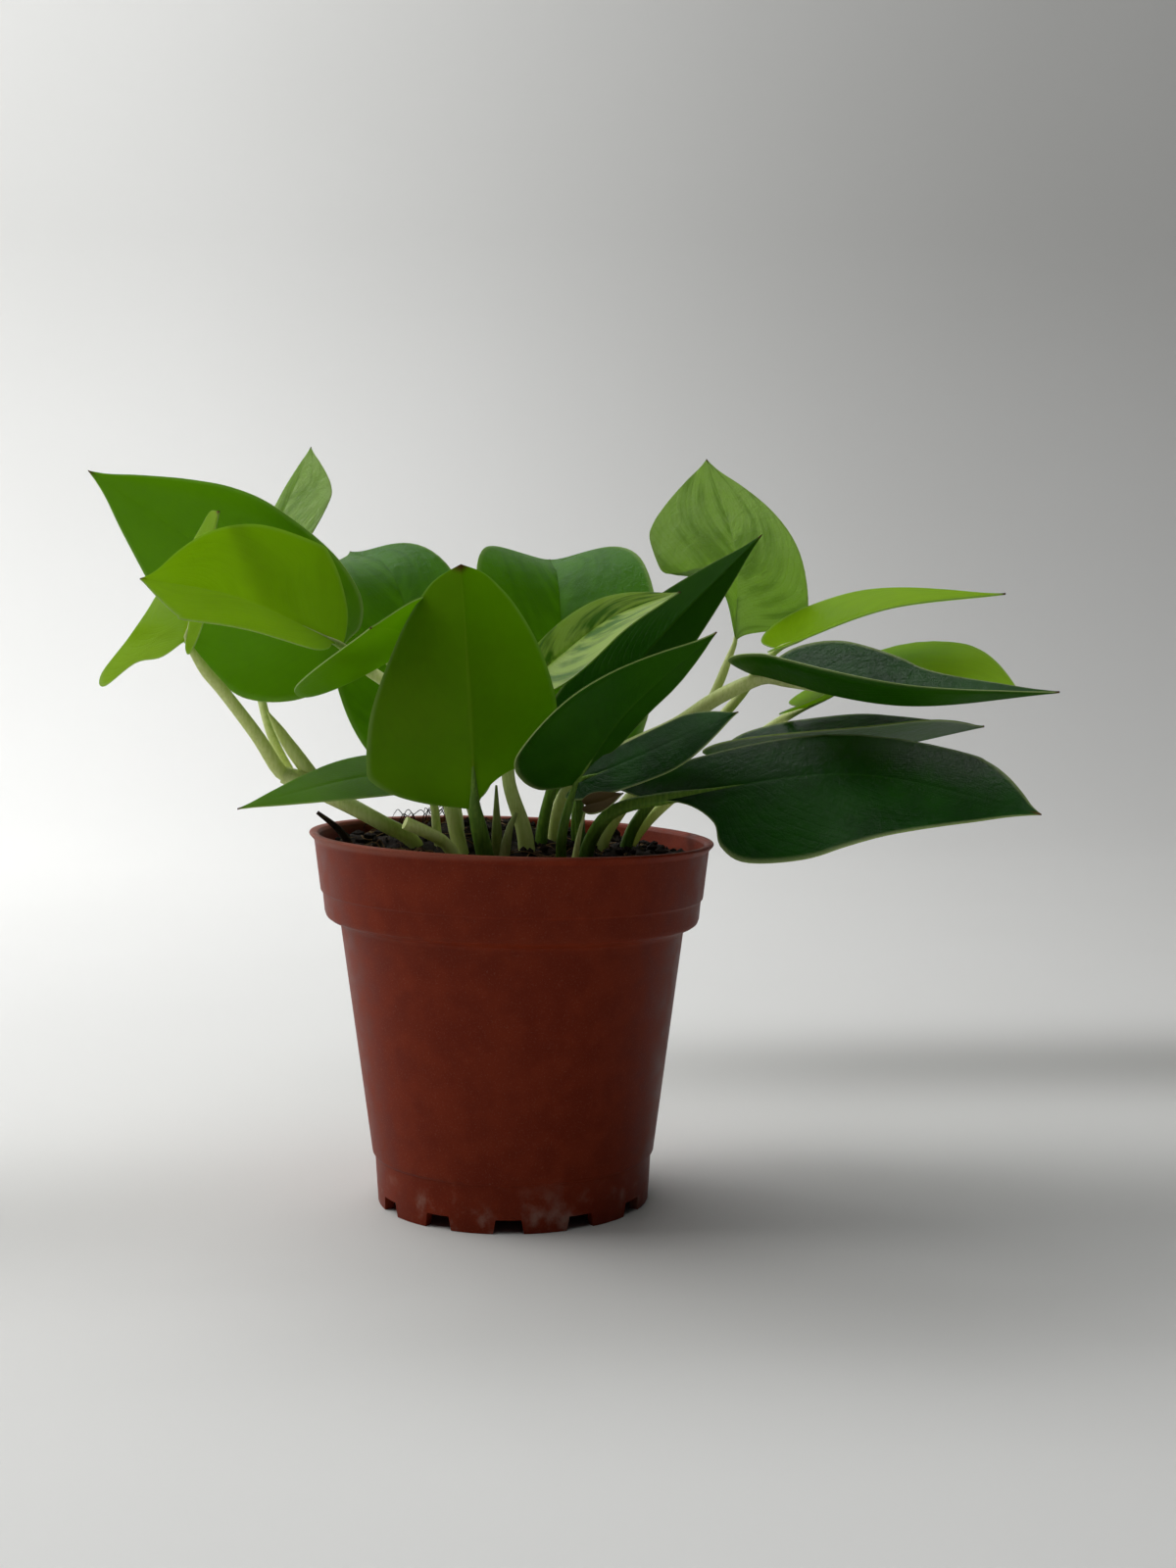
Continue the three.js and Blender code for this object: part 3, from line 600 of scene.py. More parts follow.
select_only()
bpy.ops.mesh.primitive_ico_sphere_add(subdivisions=1, radius=1)
crumbs = bpy.context.object
corners = np.array([v.co for v in crumbs.data.vertices])
ball_faces = [tuple(p.vertices) for p in crumbs.data.polygons]
vertices, faces = [], []
for _ in range(CRUMBS):
    turn, far = random.uniform(0, 2 * math.pi), STREWN_RADIUS * math.sqrt(random.uniform(0, 1))
    x, y = far * math.cos(turn), far * math.sin(turn)
    size = random.uniform(*CRUMB_SIZES) * random.uniform(0.5, 1)
    stretch = size * random.uniform(0.6, 1.3, 3)
    knocked = corners * stretch * random.uniform(0.75, 1.2, (len(corners), 1))
    z = leaned_height(x, soil_height(x, y)) + CRUMB_LIFT * size
    start = len(vertices)
    vertices += [tuple((corner + (x, y, z)) * MM) for corner in knocked]
    faces += [tuple(start + i for i in face) for face in ball_faces]
crumbs.data = bpy.data.meshes.new("crumbs")
crumbs.data.from_pydata(vertices, [], faces)
crumbs.data.materials.append(peat)
settle(crumbs, "peat_crumbs", "peat")
print("crumbs:", len(crumbs.data.polygons), "faces")

# %% [markdown]
# Coconut threads and hair roots lie in and over the peat. A thread is a bevelled curve with a few
# wandering points. All of them are splines of one curve, which is then turned into a mesh.
# %% Threads and hair roots


def new_curve(name):
    data = bpy.data.curves.new(name, "CURVE")
    data.dimensions = "3D"
    data.use_fill_caps = True
    return data


def curve_to_mesh(data):
    select_only(into_scene(data.name, data))
    bpy.ops.object.convert(target="MESH")
    return bpy.context.object


def tube_curve(name, routes):
    """One mesh with a tube along each route of (x, y, z, radius) points, in millimetres."""
    data = new_curve(name)
    data.bevel_depth = MM
    data.bevel_resolution = 1
    data.resolution_u = 4
    for route in routes:
        spline = data.splines.new("NURBS")
        spline.points.add(len(route) - 1)
        for point, (x, y, z, radius) in zip(spline.points, route):
            point.co = (x * MM, y * MM, z * MM, 1)
            point.radius = radius
        spline.use_endpoint_u = True
        spline.order_u = 3
    return curve_to_mesh(data)


THREAD_STEPS = 7
SOIL_RADIUS = 46


def wandering_thread(x, y, lift, length, radius):
    heading, route = random.uniform(0, 2 * math.pi), []
    for k in range(THREAD_STEPS):
        heading += random.normal(0, 0.6)
        x += math.cos(heading) * length / THREAD_STEPS
        y += math.sin(heading) * length / THREAD_STEPS
        far = math.hypot(x, y)
        if far > SOIL_RADIUS:
            x, y = x * SOIL_RADIUS / far, y * SOIL_RADIUS / far
        rise = lift * math.sin(math.pi * k / (THREAD_STEPS - 1)) * random.uniform(0.4, 1.0)
        z = leaned_height(x, soil_height(x, y)) + 0.2 + rise
        route.append((x, y, z, radius * (1.1 - 0.9 * k / THREAD_STEPS)))
    return route


def clump(count, x, y, spread, lift, lengths, radius):
    """Threads that start round one place on the soil."""
    return [wandering_thread(random.normal(x, spread), random.normal(y, spread), lift,
                             random.uniform(*lengths), radius) for _ in range(count)]


threads = [wandering_thread(*random.uniform(-40, 40, 2), 1.2, random.uniform(8, 22), 0.17) for _ in range(90)]
threads += clump(46, -33, -30, 3, 2.4, (6, 15), 0.2)
fibres = tube_curve("fibres", threads)
fibres.data.materials.append(fibre_brown)
settle(fibres, "peat_threads", "peat")
roots = tube_curve("roots", clump(16, -26, 26, 5, 6.5, (8, 16), 0.16))
roots.data.materials.append(peat)
settle(roots, "hair_roots", "peat")
print("threads:", len(fibres.data.polygons), "faces, hair roots:", len(roots.data.polygons))

# %% [markdown]
# A blade's colour follows its own shape, so the pattern reads the blade's UV map: U runs from the
# stalk to the tip and V from one margin to the other. The group below turns that into the things
# that every blade shares: side veins that leave the midrib forwards, streaks of variegation along
# them, the midrib, a pale margin that is partly painted highlight, a brown tip, and the fine unevenness that
# breaks up reflections.
# %% A group for leaf patterns
VEIN_SLANT = 0.42
VEINS = 26.0
STREAK_STRETCH = (9.0, 1.6)
HALVES_APART = 3.0

nodes, given, result = new_group("leaf_pattern", ["Variegation", "Relief"],
                                 ["Streaks", "Cloud", "Midrib", "Tip", "Veins", "Margin", "Height"])
along, over, _ = nodes.axes(nodes.add("ShaderNodeUVMap", {"uv_map": "UVMap"}).outputs[0])
signed = nodes.times(nodes.math("SUBTRACT", over, 0.5), 2.0)
across = nodes.math("ABSOLUTE", signed)
slant = nodes.times(nodes.math("POWER", across, 1.4), VEIN_SLANT)
vein_place = nodes.math("SUBTRACT", along, slant)
streak_place = nodes.add("ShaderNodeCombineXYZ", x=nodes.times(vein_place, STREAK_STRETCH[0]),
                         y=nodes.times(across, STREAK_STRETCH[1]),
                         z=nodes.times(nodes.math("SIGN", signed), HALVES_APART)).outputs[0]
streak_noise = nodes.noise(streak_place, 1.1, 4.0, 0.5)
streaks = nodes.times(nodes.between(streak_noise, 0.44, 0.66), given["Variegation"])
place = nodes.object_place()
cloud = nodes.between(nodes.noise(place, 55.0, 3.0), 0.3, 0.7)
vein_lines = nodes.between(nodes.math("SINE", nodes.times(vein_place, VEINS * 2 * math.pi)), 0.6, 1.0)
blotches = nodes.noise(place, 340.0, 5.0, 0.6)
pores = nodes.times(nodes.noise(place, 2600.0, 2.0), 0.25)
height = nodes.times(nodes.math("ADD", blotches, pores), given["Relief"])
height = nodes.math("SUBTRACT", height, nodes.times(vein_lines, 0.16))
# The pale margin is partly the edge's own colour and partly a painted highlight
nodes.set(result, streaks=streaks, cloud=cloud, veins=vein_lines, height=height,
          midrib=nodes.between(across, 0.045, 0.012), margin=nodes.between(across, 0.95, 1.0),
          tip=nodes.between(along, 0.955, 0.995))
print("leaf pattern group made")

# %% [markdown]
# A leaf lets light through. Its skin is a plain glossy surface, and a Translucent shader mixed in
# passes on the light from behind in a yellower green. The upper skin is dark and waxy, the
# underside paler and more matt. Each entry holds the upper and the under skin: the deep, fresh and
# streak colours, the colour and share of the light that comes through, roughness and shine, and
# then variegation, relief and the midrib's colour where they aren't the usual ones.
# %% The leaf finishes
TIP_BROWN = (0.16, 0.07, 0.015)
# The margin's pale colour is partly its own and partly a painted highlight where the rolled rim catches the
# light
PALE_EDGE_AND_HIGHLIGHT = (0.42, 0.5, 0.2)
GLOW_YELLOW = (0.62, 0.9, 0.02)
GLOW_GREEN = (0.42, 0.72, 0.004)
GLOW_DARK = (0.26, 0.56, 0.01)
GLOW_BROWN = (0.25, 0.16, 0.05)
YELLOW_RIB = (0.12, 0.22, 0.02)
LEAF_SKINS = {
    # The dark finish is the older leaves' own deep green, made darker still on both skins as painted shade
    # for leaves that lie in shade
    "dark": [
        ((0.001, 0.026, 0.001), (0.006, 0.062, 0.002), (0.001, 0.016, 0.001), GLOW_DARK,
         0.14, 0.18, 0.07, 0, 2.4, (0.016, 0.085, 0.005)),
        ((0.014, 0.078, 0.002), (0.026, 0.11, 0.003), (0.014, 0.07, 0.002), GLOW_DARK,
         0.24, 0.3, 0.09, 0, 1, (0.06, 0.15, 0.01)),
    ],
    "back": [
        ((0.026, 0.125, 0.003), (0.044, 0.17, 0.005), (0.012, 0.075, 0.002), GLOW_GREEN,
         0.36, 0.26, 0.08, 0.25, 2.4, (0.005, 0.045, 0.002)),
        ((0.06, 0.17, 0.004), (0.09, 0.22, 0.006), (0.04, 0.12, 0.003), GLOW_GREEN,
         0.5, 0.45, 0.07, 0, 1, YELLOW_RIB),
    ],
    "mid": [
        ((0.075, 0.185, 0.004), (0.105, 0.235, 0.006), (0.055, 0.15, 0.003), GLOW_GREEN, 0.45, 0.32, 0.12),
        ((0.105, 0.205, 0.001), (0.14, 0.255, 0.003), (0.085, 0.18, 0.001), GLOW_GREEN,
         0.52, 0.46, 0.06, 0, 1, (0.22, 0.33, 0.02)),
    ],
    "light": [
        ((0.235, 0.385, 0.006), (0.3, 0.46, 0.016), (0.195, 0.345, 0.005), GLOW_YELLOW,
         0.48, 0.36, 0.05, 0.1),
        ((0.28, 0.44, 0.008), (0.35, 0.51, 0.022), (0.235, 0.385, 0.006), GLOW_YELLOW,
         0.52, 0.45, 0.06, 0, 1, (0.42, 0.54, 0.08)),
    ],
    "marbled": [
        ((0.41, 0.58, 0.17), (0.48, 0.64, 0.25), (0.22, 0.42, 0.03), GLOW_YELLOW,
         0.4, 0.22, 0.3, 0.5, 2.4),
        ((0.27, 0.44, 0.045), (0.33, 0.5, 0.08), (0.18, 0.35, 0.02), GLOW_YELLOW,
         0.46, 0.42, 0.1, 0.5),
    ],
    "striped": [
        ((0.36, 0.51, 0.08), (0.46, 0.6, 0.15), (0.09, 0.25, 0.008), GLOW_YELLOW,
         0.42, 0.26, 0.2, 1),
        ((0.26, 0.42, 0.045), (0.32, 0.48, 0.075), (0.13, 0.31, 0.015), GLOW_YELLOW,
         0.46, 0.42, 0.1, 0.6),
    ],
    "dry": [
        ((0.1, 0.062, 0.018), (0.15, 0.1, 0.03), (0.05, 0.03, 0.012), GLOW_BROWN, 0.2, 0.7, 0.1),
        ((0.12, 0.074, 0.022), (0.17, 0.11, 0.036), (0.06, 0.036, 0.012), GLOW_BROWN, 0.2, 0.75, 0.1),
    ],
}


def leaf_material(name, deep, fresh, streak, through, share_through, rough, shine, variegation=0.0,
                  relief=1.0, rib=None):
    material, nodes, shader = new_material(name)
    pattern = use_group(nodes, "leaf_pattern", variegation=variegation, relief=relief)
    skin = nodes.mix(pattern["Cloud"], deep, fresh)
    skin = nodes.mix(pattern["Streaks"], skin, streak)
    skin = nodes.mix(nodes.times(pattern["Veins"], 0.16), skin, streak)
    skin = nodes.mix(nodes.times(pattern["Midrib"], 0.6), skin, rib or fresh)
    skin = nodes.mix(nodes.times(pattern["Margin"], 0.5), skin, PALE_EDGE_AND_HIGHLIGHT)
    skin = nodes.mix(pattern["Tip"], skin, TIP_BROWN)
    roughness = nodes.math("ADD", nodes.times(pattern["Cloud"], 0.08), rough)
    nodes.set(shader, base_color=skin, roughness=roughness, specular_ior_level=shine,
              normal=nodes.bump(0.7, 0.0003, pattern["Height"]))
    glow = nodes.mix(pattern["Tip"], nodes.mix(pattern["Streaks"], through, streak), TIP_BROWN)
    let_light_through(material, nodes, shader, glow, share_through)
    return material


leaf_finishes = {
    kind: [leaf_material(f"leaf_{kind}_{side}", *skin) for side, skin in zip(("upper", "under"), skins)]
    for kind, skins in LEAF_SKINS.items()
}
# The rim's material is pale: partly the margin's own colour, partly painted highlight
margin_and_highlight_material = leaf_material("leaf_margin", (0.34, 0.48, 0.12), (0.42, 0.56, 0.18), (0.26, 0.4, 0.08),
                                GLOW_YELLOW, 0.35, 0.3, 0.3)
print("leaf finishes:", list(leaf_finishes))

# %% [markdown]
# Each blade is two halves that open from a curved midrib, and each half is bounded by an edge that
# runs round a lobe behind the stalk, out to the widest place and on to a drawn-out tip. The blades
# differ only in numbers, so the shape is a formula and every leaf a short entry: its midrib, where
# its upper side looks, and for its left and right half the width, the fold and the curl.
# %% The blade's shape


def spline(points, share):
    """A smooth line through the points, at shares from 0 to 1."""
    held = np.asarray(points, float)
    last = len(held) - 1
    held = np.vstack([2 * held[0] - held[1], held, 2 * held[-1] - held[-2]])
    run = np.clip(share, 0, 1) * last
    index = np.minimum(run.astype(int), last - 1)
    part = (run - index)[..., None]
    before, start, end, after = (held[index + k] for k in range(4))
    leave, arrive = (end - before) / 2, (after - start) / 2
    bend = (2 * part ** 3 - 3 * part ** 2 + 1) * start + (part ** 3 - 2 * part ** 2 + part) * leave
    return bend + (-2 * part ** 3 + 3 * part ** 2) * end + (part ** 3 - part ** 2) * arrive


USUAL_LOBES = (0.1, 0.1)
USUAL_WIDEST = (0.3, 0.3)
# Share of the way from the widest place to the tip, and the width of a drawn-out and of a round tip
NEAR_TIP = [(0.28, 0.9, 0.95), (0.52, 0.66, 0.85), (0.74, 0.36, 0.66), (0.88, 0.14, 0.45), (0.95, 0.05, 0.28)]


def edge_points(leaf, half):
    """One half's edge as (along, across) shares of the length and the half width."""
    if half == 0 and "outline" in leaf:
        return leaf["outline"]
    lobe = leaf.get("lobes", USUAL_LOBES)[half]
    widest = leaf.get("widest", USUAL_WIDEST)[half]
    blunt = leaf.get("blunt", 0)
    rest = 1 - widest
    return [
        (0, 0), (-0.6 * lobe, 0.15), (-lobe, 0.42), (0.15 * widest - 0.7 * lobe, 0.72),
        (0.5 * widest - 0.2 * lobe, 0.94), (widest, 1),
        *((widest + part * rest, drawn + (full - drawn) * blunt) for part, drawn, full in NEAR_TIP), (1, 0),
    ]


def unit(vectors):
    return vectors / np.linalg.norm(vectors, axis=-1, keepdims=True)


def blade_frame(leaf, share):
    """Centre, right and up along the midrib. Shares below 0 lie behind the stalk."""
    held = np.clip(share, 0, 1)
    step = 1e-3
    centre = spline(leaf["midrib"], held)
    forward = unit(spline(leaf["midrib"], held + step) - spline(leaf["midrib"], held - step))
    up = np.broadcast_to(np.asarray(leaf["faces"], float), forward.shape)
    up = unit(up - (up * forward).sum(-1, keepdims=True) * forward)
    line = spline(leaf["midrib"], np.linspace(0, 1, 200))
    length = np.linalg.norm(np.diff(line, axis=0), axis=1).sum()
    centre = centre + forward * ((share - held) * length)[:, None]
    return centre, np.cross(forward, up), up


SECTION_STEPS = 12
GROOVE_DEPTH = 0.3
GROOVE_WIDTH = 0.55
ROLL_STARTS = 0.72


def blade_points(leaf, inner, sideways):
    """Points of the blade. inner runs 0 to 1 from stalk to tip, sideways -1 to 1 from left to right."""
    points = np.zeros((len(inner), 3))
    for half, sign in ((0, -1), (1, 1)):
        chosen = (sideways * sign > 0) if half == 0 else (sideways * sign >= 0)
        rows, share = inner[chosen], np.abs(sideways[chosen])
        edge = spline(edge_points(leaf, half), rows)
        reach_share = np.maximum(edge[:, 1], 0)
        place = rows + (edge[:, 0] - rows) * share
        centre, right, up = blade_frame(leaf, place)
        fold, curl, roll = (np.radians(leaf.get(key, (0, 0))[half]) for key in ("fold", "curl", "roll"))
        out, rise = np.zeros(len(rows)), np.zeros(len(rows))
        for k in range(SECTION_STEPS):
            part = share * (k + 0.5) / SECTION_STEPS
            rolled = np.clip((part - ROLL_STARTS) / (1 - ROLL_STARTS), 0, 1) ** 2
            bend = fold + curl * reach_share * part + roll * rolled
            out += np.cos(bend) * share / SECTION_STEPS
            rise += np.sin(bend) * share / SECTION_STEPS
        width = leaf["halfWidths"][half] * reach_share
        sag = GROOVE_DEPTH * np.exp(-((share * width / GROOVE_WIDTH) ** 2)) * (1 - rows)
        points[chosen] = centre + right * (sign * out * width)[:, None] + up * (rise * width - sag)[:, None]
    return points


print("blade formula ready")

# %% [markdown]
# The leaves, from the left of the plant to its right, in millimetres and degrees. `midrib` runs from
# the stalk over the middle to the tip, and `faces` is where the upper side looks. The pairs are the
# left and right halves, seen from above with the tip ahead. `lobes` says how far a half reaches
# back past the stalk and `widest` where it is broadest, both as shares of the length. `roll` turns
# a margin in, and `blunt` rounds a tip off. `stalk` is the route that carries the blade and `radii`
# its radius at the two ends. Where lobes, widest or radii are left out, they are the usual ones.
# %% The list of leaves
UP = (0, 0, 1)
UP_AND_NEAR = (0, -0.7, 0.7)
UP_LEFT_AND_NEAR = (-0.5, -0.5, 0.7)
UP_LEFT_AND_AWAY = (-0.4, 0.6, 0.6)
NEAR = (0, -1, 0)
AWAY = (0, 1, 0)
LOBED_OUTLINE = [
    (0, 0), (-0.14, 0.25), (-0.2, 0.55), (-0.4, 0.88), (-0.3, 0.94), (-0.02, 0.7),
    (0.25, 0.5), (0.45, 0.42), (0.6, 0.35), (0.78, 0.28), (0.93, 0.18), (1, 0),
]
LEAVES = {
    "front": dict(
        finish="mid", midrib=[(-9, -34, 105), (-10, -44, 132), (-12, -42, 164)], faces=AWAY,
        halfWidths=(22, 28), fold=(20, 20), lobes=(-0.15, 0), widest=(0.4, 0.12), blunt=0.8,
        stalk=[(-5, -29, 86), (-7, -32, 95)], radii=(2.4, 2)),
    "left_large": dict(
        finish="mid", midrib=[(-44, 1, 144), (-73, 6, 165), (-110, 10, 190)], faces=UP_AND_NEAR,
        halfWidths=(30, 21), fold=(0, 10), curl=(0, 10), roll=(0, 60), lobes=(0.05, 0), widest=(0.2, 0.5),
        stalk=[(-13, -4, 86), (-15, -3, 104), (-21, -3, 124), (-30, -2, 139), (-36, 0, 143)]),
    "left_near": dict(
        finish="light", midrib=[(-42, -20, 145), (-64, -42, 156), (-84, -60, 160)], faces=UP,
        halfWidths=(12, 27), fold=(-45, 60), curl=(0, 10), lobes=(-0.1, 0.05), widest=(0.85, 0.1),
        stalk=[(-11, -26, 86), (-13, -26, 95), (-16, -25, 108), (-22, -20, 125), (-30, -13, 134),
               (-37, -10, 139)],
        radii=(2, 1.5)),
    "left_outer": dict(
        finish="light", midrib=[(-79, -30, 146), (-76, -28, 161), (-70, -32, 177)],
        faces=UP_LEFT_AND_NEAR, halfWidths=(36, 5), fold=(0, -10), outline=LOBED_OUTLINE,
        stalk=[(-59, -10, 113), (-64, -14, 122), (-71, -21, 133), (-75, -27, 139)],
        radii=(1.9, 1.4)),
    "left_folded": dict(
        finish="mid", midrib=[(-22, -20, 146), (-29, -36, 149), (-33, -48, 149)], faces=UP,
        halfWidths=(13, 32), fold=(40, -30), lobes=(0.1, 0),
        stalk=[(-7, -7, 86), (-9, -8, 98), (-13, -11, 112), (-17, -17, 129)], radii=(1.5, 1.1)),
    "left_back": dict(
        finish="marbled", midrib=[(-68, 20, 166), (-60, 25, 183), (-54, 28, 198)], faces=UP_AND_NEAR,
        halfWidths=(3, 12), fold=(0, 10), widest=(0.4, 0.6),
        stalk=[(-57, -7, 113), (-62, -2, 122), (-66, 6, 134), (-70, 16, 152)], radii=(1.3, 1)),
    "left_low": dict(
        finish="mid", midrib=[(-24, -10, 113), (-42, -19, 111), (-67, -30, 105)], faces=UP,
        halfWidths=(9, 9), fold=(-30, 30), lobes=(0.05, 0.05),
        stalk=[(-17, -18, 86), (-19, -16, 98), (-20, -13, 105)], radii=(1.4, 1)),
    "back_left": dict(
        finish="back", midrib=[(-18, 4, 111), (-31, 26, 161), (-46, 54, 171)], faces=UP_AND_NEAR,
        halfWidths=(24, 18), fold=(15, 10), lobes=(0, 0.1), widest=(0.3, 0.2),
        stalk=[(-14, 6, 86), (-15, 6, 98)], radii=(1.8, 1.3)),
    "back_centre": dict(
        finish="back", midrib=[(14, 6, 116), (13, 32, 159), (11, 60, 169)], faces=UP_AND_NEAR,
        halfWidths=(25, 27), fold=(25, 20), widest=(0.45, 0.35),
        stalk=[(8, -2, 86), (10, 0, 98)], radii=(1.9, 1.4)),
    "young_striped": dict(
        finish="striped", midrib=[(6, -11, 137), (24, -16, 151), (42, -20, 158)], faces=UP_AND_NEAR,
        halfWidths=(7, 13), fold=(20, 20),
        stalk=[(4, -21, 86), (3, -21, 98), (-1, -19, 112), (1, -12, 125)], radii=(2.3, 1.2)),
    "centre_long": dict(
        finish="dark", midrib=[(13, -10, 117), (38, -10, 147), (64, -8, 173)], faces=AWAY,
        halfWidths=(10, 12), fold=(20, 25), widest=(0.3, 0.2),
        stalk=[(7, -12, 86), (8, -11, 100)], radii=(1.8, 1.3)),
    "centre_rolled": dict(
        finish="dark", midrib=[(15, -32, 111), (28, -42, 130), (48, -50, 148)], faces=UP_LEFT_AND_AWAY,
        halfWidths=(7, 25), roll=(0, -50), lobes=(-0.2, 0.05), widest=(0.6, 0.2),
        stalk=[(12, -30, 86), (12, -32, 98)], radii=(1.6, 1.2)),
    "centre_low": dict(
        finish="dark", midrib=[(17, -21, 111), (36, -33, 120), (54, -43, 129)], faces=UP_AND_NEAR,
        halfWidths=(7, 8), fold=(0, -10), widest=(0.6, 0.5),
        stalk=[(18, -17, 86), (17, -19, 98)], radii=(1.6, 1.2)),
    "small_dry": dict(
        finish="dry", midrib=[(18, -33, 106), (22, -34, 107), (27, -35, 109)], faces=UP_AND_NEAR,
        halfWidths=(3, 4), fold=(10, 10),
        stalk=[(14, -38, 86), (16, -36, 98)], radii=(1, 0.7)),
    "back_right": dict(
        finish="marbled", midrib=[(60, 16, 146), (60, 18, 170), (53, 27, 195)], faces=NEAR,
        halfWidths=(22, 19), fold=(5, 5), lobes=(-0.4, -0.05), widest=(0.65, 0.22),
        stalk=[(22, 2, 86), (25, 3, 97), (41, 8, 116), (51, 11, 127), (55, 13, 134), (58, 15, 141)]),
    "right_pale": dict(
        finish="light", midrib=[(69, 0, 144), (96, -2, 154), (128, -3, 158)], faces=UP,
        halfWidths=(16, 18), fold=(25, 0), lobes=(0.05, 0.05), widest=(0.2, 0.2),
        stalk=[(22, -5, 86), (25, -3, 97), (37, 1, 112), (49, 3, 121), (54, 3, 125), (60, 2, 132),
               (64, 1, 138)]),
    "right_glossy": dict(
        finish="dark", midrib=[(61, -30, 137), (92, -50, 131), (128, -55, 134)], faces=UP,
        halfWidths=(22, 12), fold=(30, 30), roll=(0, 60), lobes=(0, 0.1), widest=(0.2, 0.1),
        stalk=[(10, -6, 86), (11, -6, 95), (13, -8, 105), (20, -12, 114), (31, -18, 120), (41, -22, 125),
               (51, -26, 132)],
        radii=(2.2, 1.8)),
    "right_behind": dict(
        finish="light", midrib=[(76, -4, 129), (99, -14, 138), (126, -30, 133)], faces=UP,
        halfWidths=(22, 14), fold=(20, 0), widest=(0.6, 0.3),
        stalk=[(28, 10, 86), (36, 16, 97), (50, 24, 108), (64, 22, 118), (72, 10, 125)]),
    "right_long": dict(
        finish="dark", midrib=[(55, -1, 115), (89, -13, 118), (121, -11, 124)], faces=UP,
        halfWidths=(18, 20), fold=(30, 20), lobes=(0, 0.05), widest=(0.4, 0.6),
        stalk=[(28, 0, 86), (32, 0, 98), (42, 0, 109)]),
    "right_front": dict(
        finish="dark", midrib=[(35, -28, 107), (81, -44, 114), (119, -74, 107)], faces=UP_AND_NEAR,
        halfWidths=(16, 24), curl=(-15, -15), lobes=(0.1, -0.15), widest=(0.7, 0.4),
        stalk=[(17, -22, 86), (19, -23, 95), (23, -25, 102), (28, -26, 105)], radii=(1.9, 1.5)),
}
print("leaves listed:", len(LEAVES))

# %% [markdown]
# A blade starts as a flat grid. Its points are moved to the formula's places, which also leaves a
# clean UV map from the grid. Solidify gives it its thickness, with other materials for the
# underside and the rim, and a vertex group makes it thinner towards the margin.
# %% Make the blades
BLADE_ROWS = 60
BLADE_COLUMNS = 13
BLADE_THICKNESS = 0.55
MARGIN_THINNESS = 0.5


def make_blade(name, leaf):
    select_only()
    bpy.ops.mesh.primitive_grid_add(x_subdivisions=BLADE_ROWS, y_subdivisions=2 * BLADE_COLUMNS, size=2)
    blade = bpy.context.object
    flat = np.array([v.co for v in blade.data.vertices])
    inner = (flat[:, 0] + 1) / 2
    sideways = -np.sign(flat[:, 1]) * np.abs(flat[:, 1]) ** 1.35
    places = blade_points(leaf, inner, sideways) * MM
    blade.data.vertices.foreach_set("co", places.ravel())
    group = blade.vertex_groups.new(name="thickness")
    for index, weight in enumerate(1 - MARGIN_THINNESS * np.abs(sideways) ** 2):
        group.add([index], weight, "REPLACE")
    bpy.ops.object.mode_set(mode="EDIT")
    bpy.ops.mesh.select_all(action="SELECT")
    bpy.ops.mesh.remove_doubles(threshold=TOUCHING * MM)
    bpy.ops.object.mode_set(mode="OBJECT")
    upper, under = leaf_finishes[leaf["finish"]]
    for material in (upper, under, margin_and_highlight_material):
        blade.data.materials.append(material)
    solid = blade.modifiers.new("thickness", "SOLIDIFY")
    solid.thickness = BLADE_THICKNESS * MM
    solid.offset = 0
    solid.vertex_group = "thickness"
    solid.thickness_vertex_group = 0.2
    solid.material_offset = 1
    solid.material_offset_rim = 2
    apply_modifiers(blade)
    bpy.ops.object.shade_smooth_by_angle(angle=math.radians(60))
    return blade


SLOTS = {"dark": "leaf_dark", "back": "leaf_dark", "mid": "leaf_mid", "light": "leaf_light",
         "marbled": "leaf_light", "striped": "leaf_light", "dry": "leaf_dry"}
for name, leaf in LEAVES.items():
    settle(make_blade(name, leaf), f"blade_{name}", SLOTS[leaf["finish"]], f"leaf_{name}")
print("blades:", len(LEAVES))

# %% [markdown]
# Stalks are juicy and a little uneven, pale green with darker flecks, and darker where they come
# out of the soil.
# %% The stalks' finish


def stalk_material(name, deep, fresh, fleck, share_through=0.25):
    material, nodes, shader = new_material(name)
    place = nodes.object_place()
    grain = use_group(nodes, "grain", scale=900.0)
    stretched = nodes.add("ShaderNodeMapping", vector=place, scale=(1.0, 1.0, 0.12)).outputs[0]
    lines = nodes.noise(stretched, 1500.0, 3.0)
    skin = nodes.mix(nodes.between(lines, 0.35, 0.65), deep, fresh)
    skin = nodes.mix(nodes.times(grain["Specks"], 0.35), skin, fleck)
    low = nodes.between(nodes.axes(place)[2], 0.103, 0.09)
    skin = nodes.mix(nodes.times(low, 0.65), skin, fleck)
    nodes.set(shader, base_color=skin, roughness=0.38, specular_ior_level=0.16,
              normal=nodes.bump(0.4, 0.0002, lines))
    let_light_through(material, nodes, shader, fresh, share_through)
    return material


pale_stalk = stalk_material("stalk_pale", (0.64, 0.73, 0.26), (0.78, 0.85, 0.38), (0.52, 0.61, 0.16))
green_stalk = stalk_material("stalk_green", (0.13, 0.27, 0.03), (0.22, 0.38, 0.05), (0.04, 0.09, 0.015))
sheath_skin = stalk_material("sheath_skin", (0.26, 0.34, 0.1), (0.4, 0.46, 0.18), (0.2, 0.13, 0.05), 0.4)
dead_wood = peat_material("dead_wood", (0.016, 0.009, 0.006), (0.04, 0.024, 0.014), (0.09, 0.055, 0.03),
                          700.0)
print("stalk finishes made")

# %% [markdown]
# A stalk is a tube with a groove along its upper side, thick at the base and slimmer towards the
# blade. There it goes on under the midrib and fades out, which is how the real one becomes the rib.
# It is a curve with a grooved outline as its bevel object, turned into a mesh at the end.
# %% Make the stalks
USUAL_RADII = (1.7, 1.2)
GROOVE_SHARE = 0.22
VINE_NODE = (-55, -10, 111)
OUTLINE_POINTS = 18


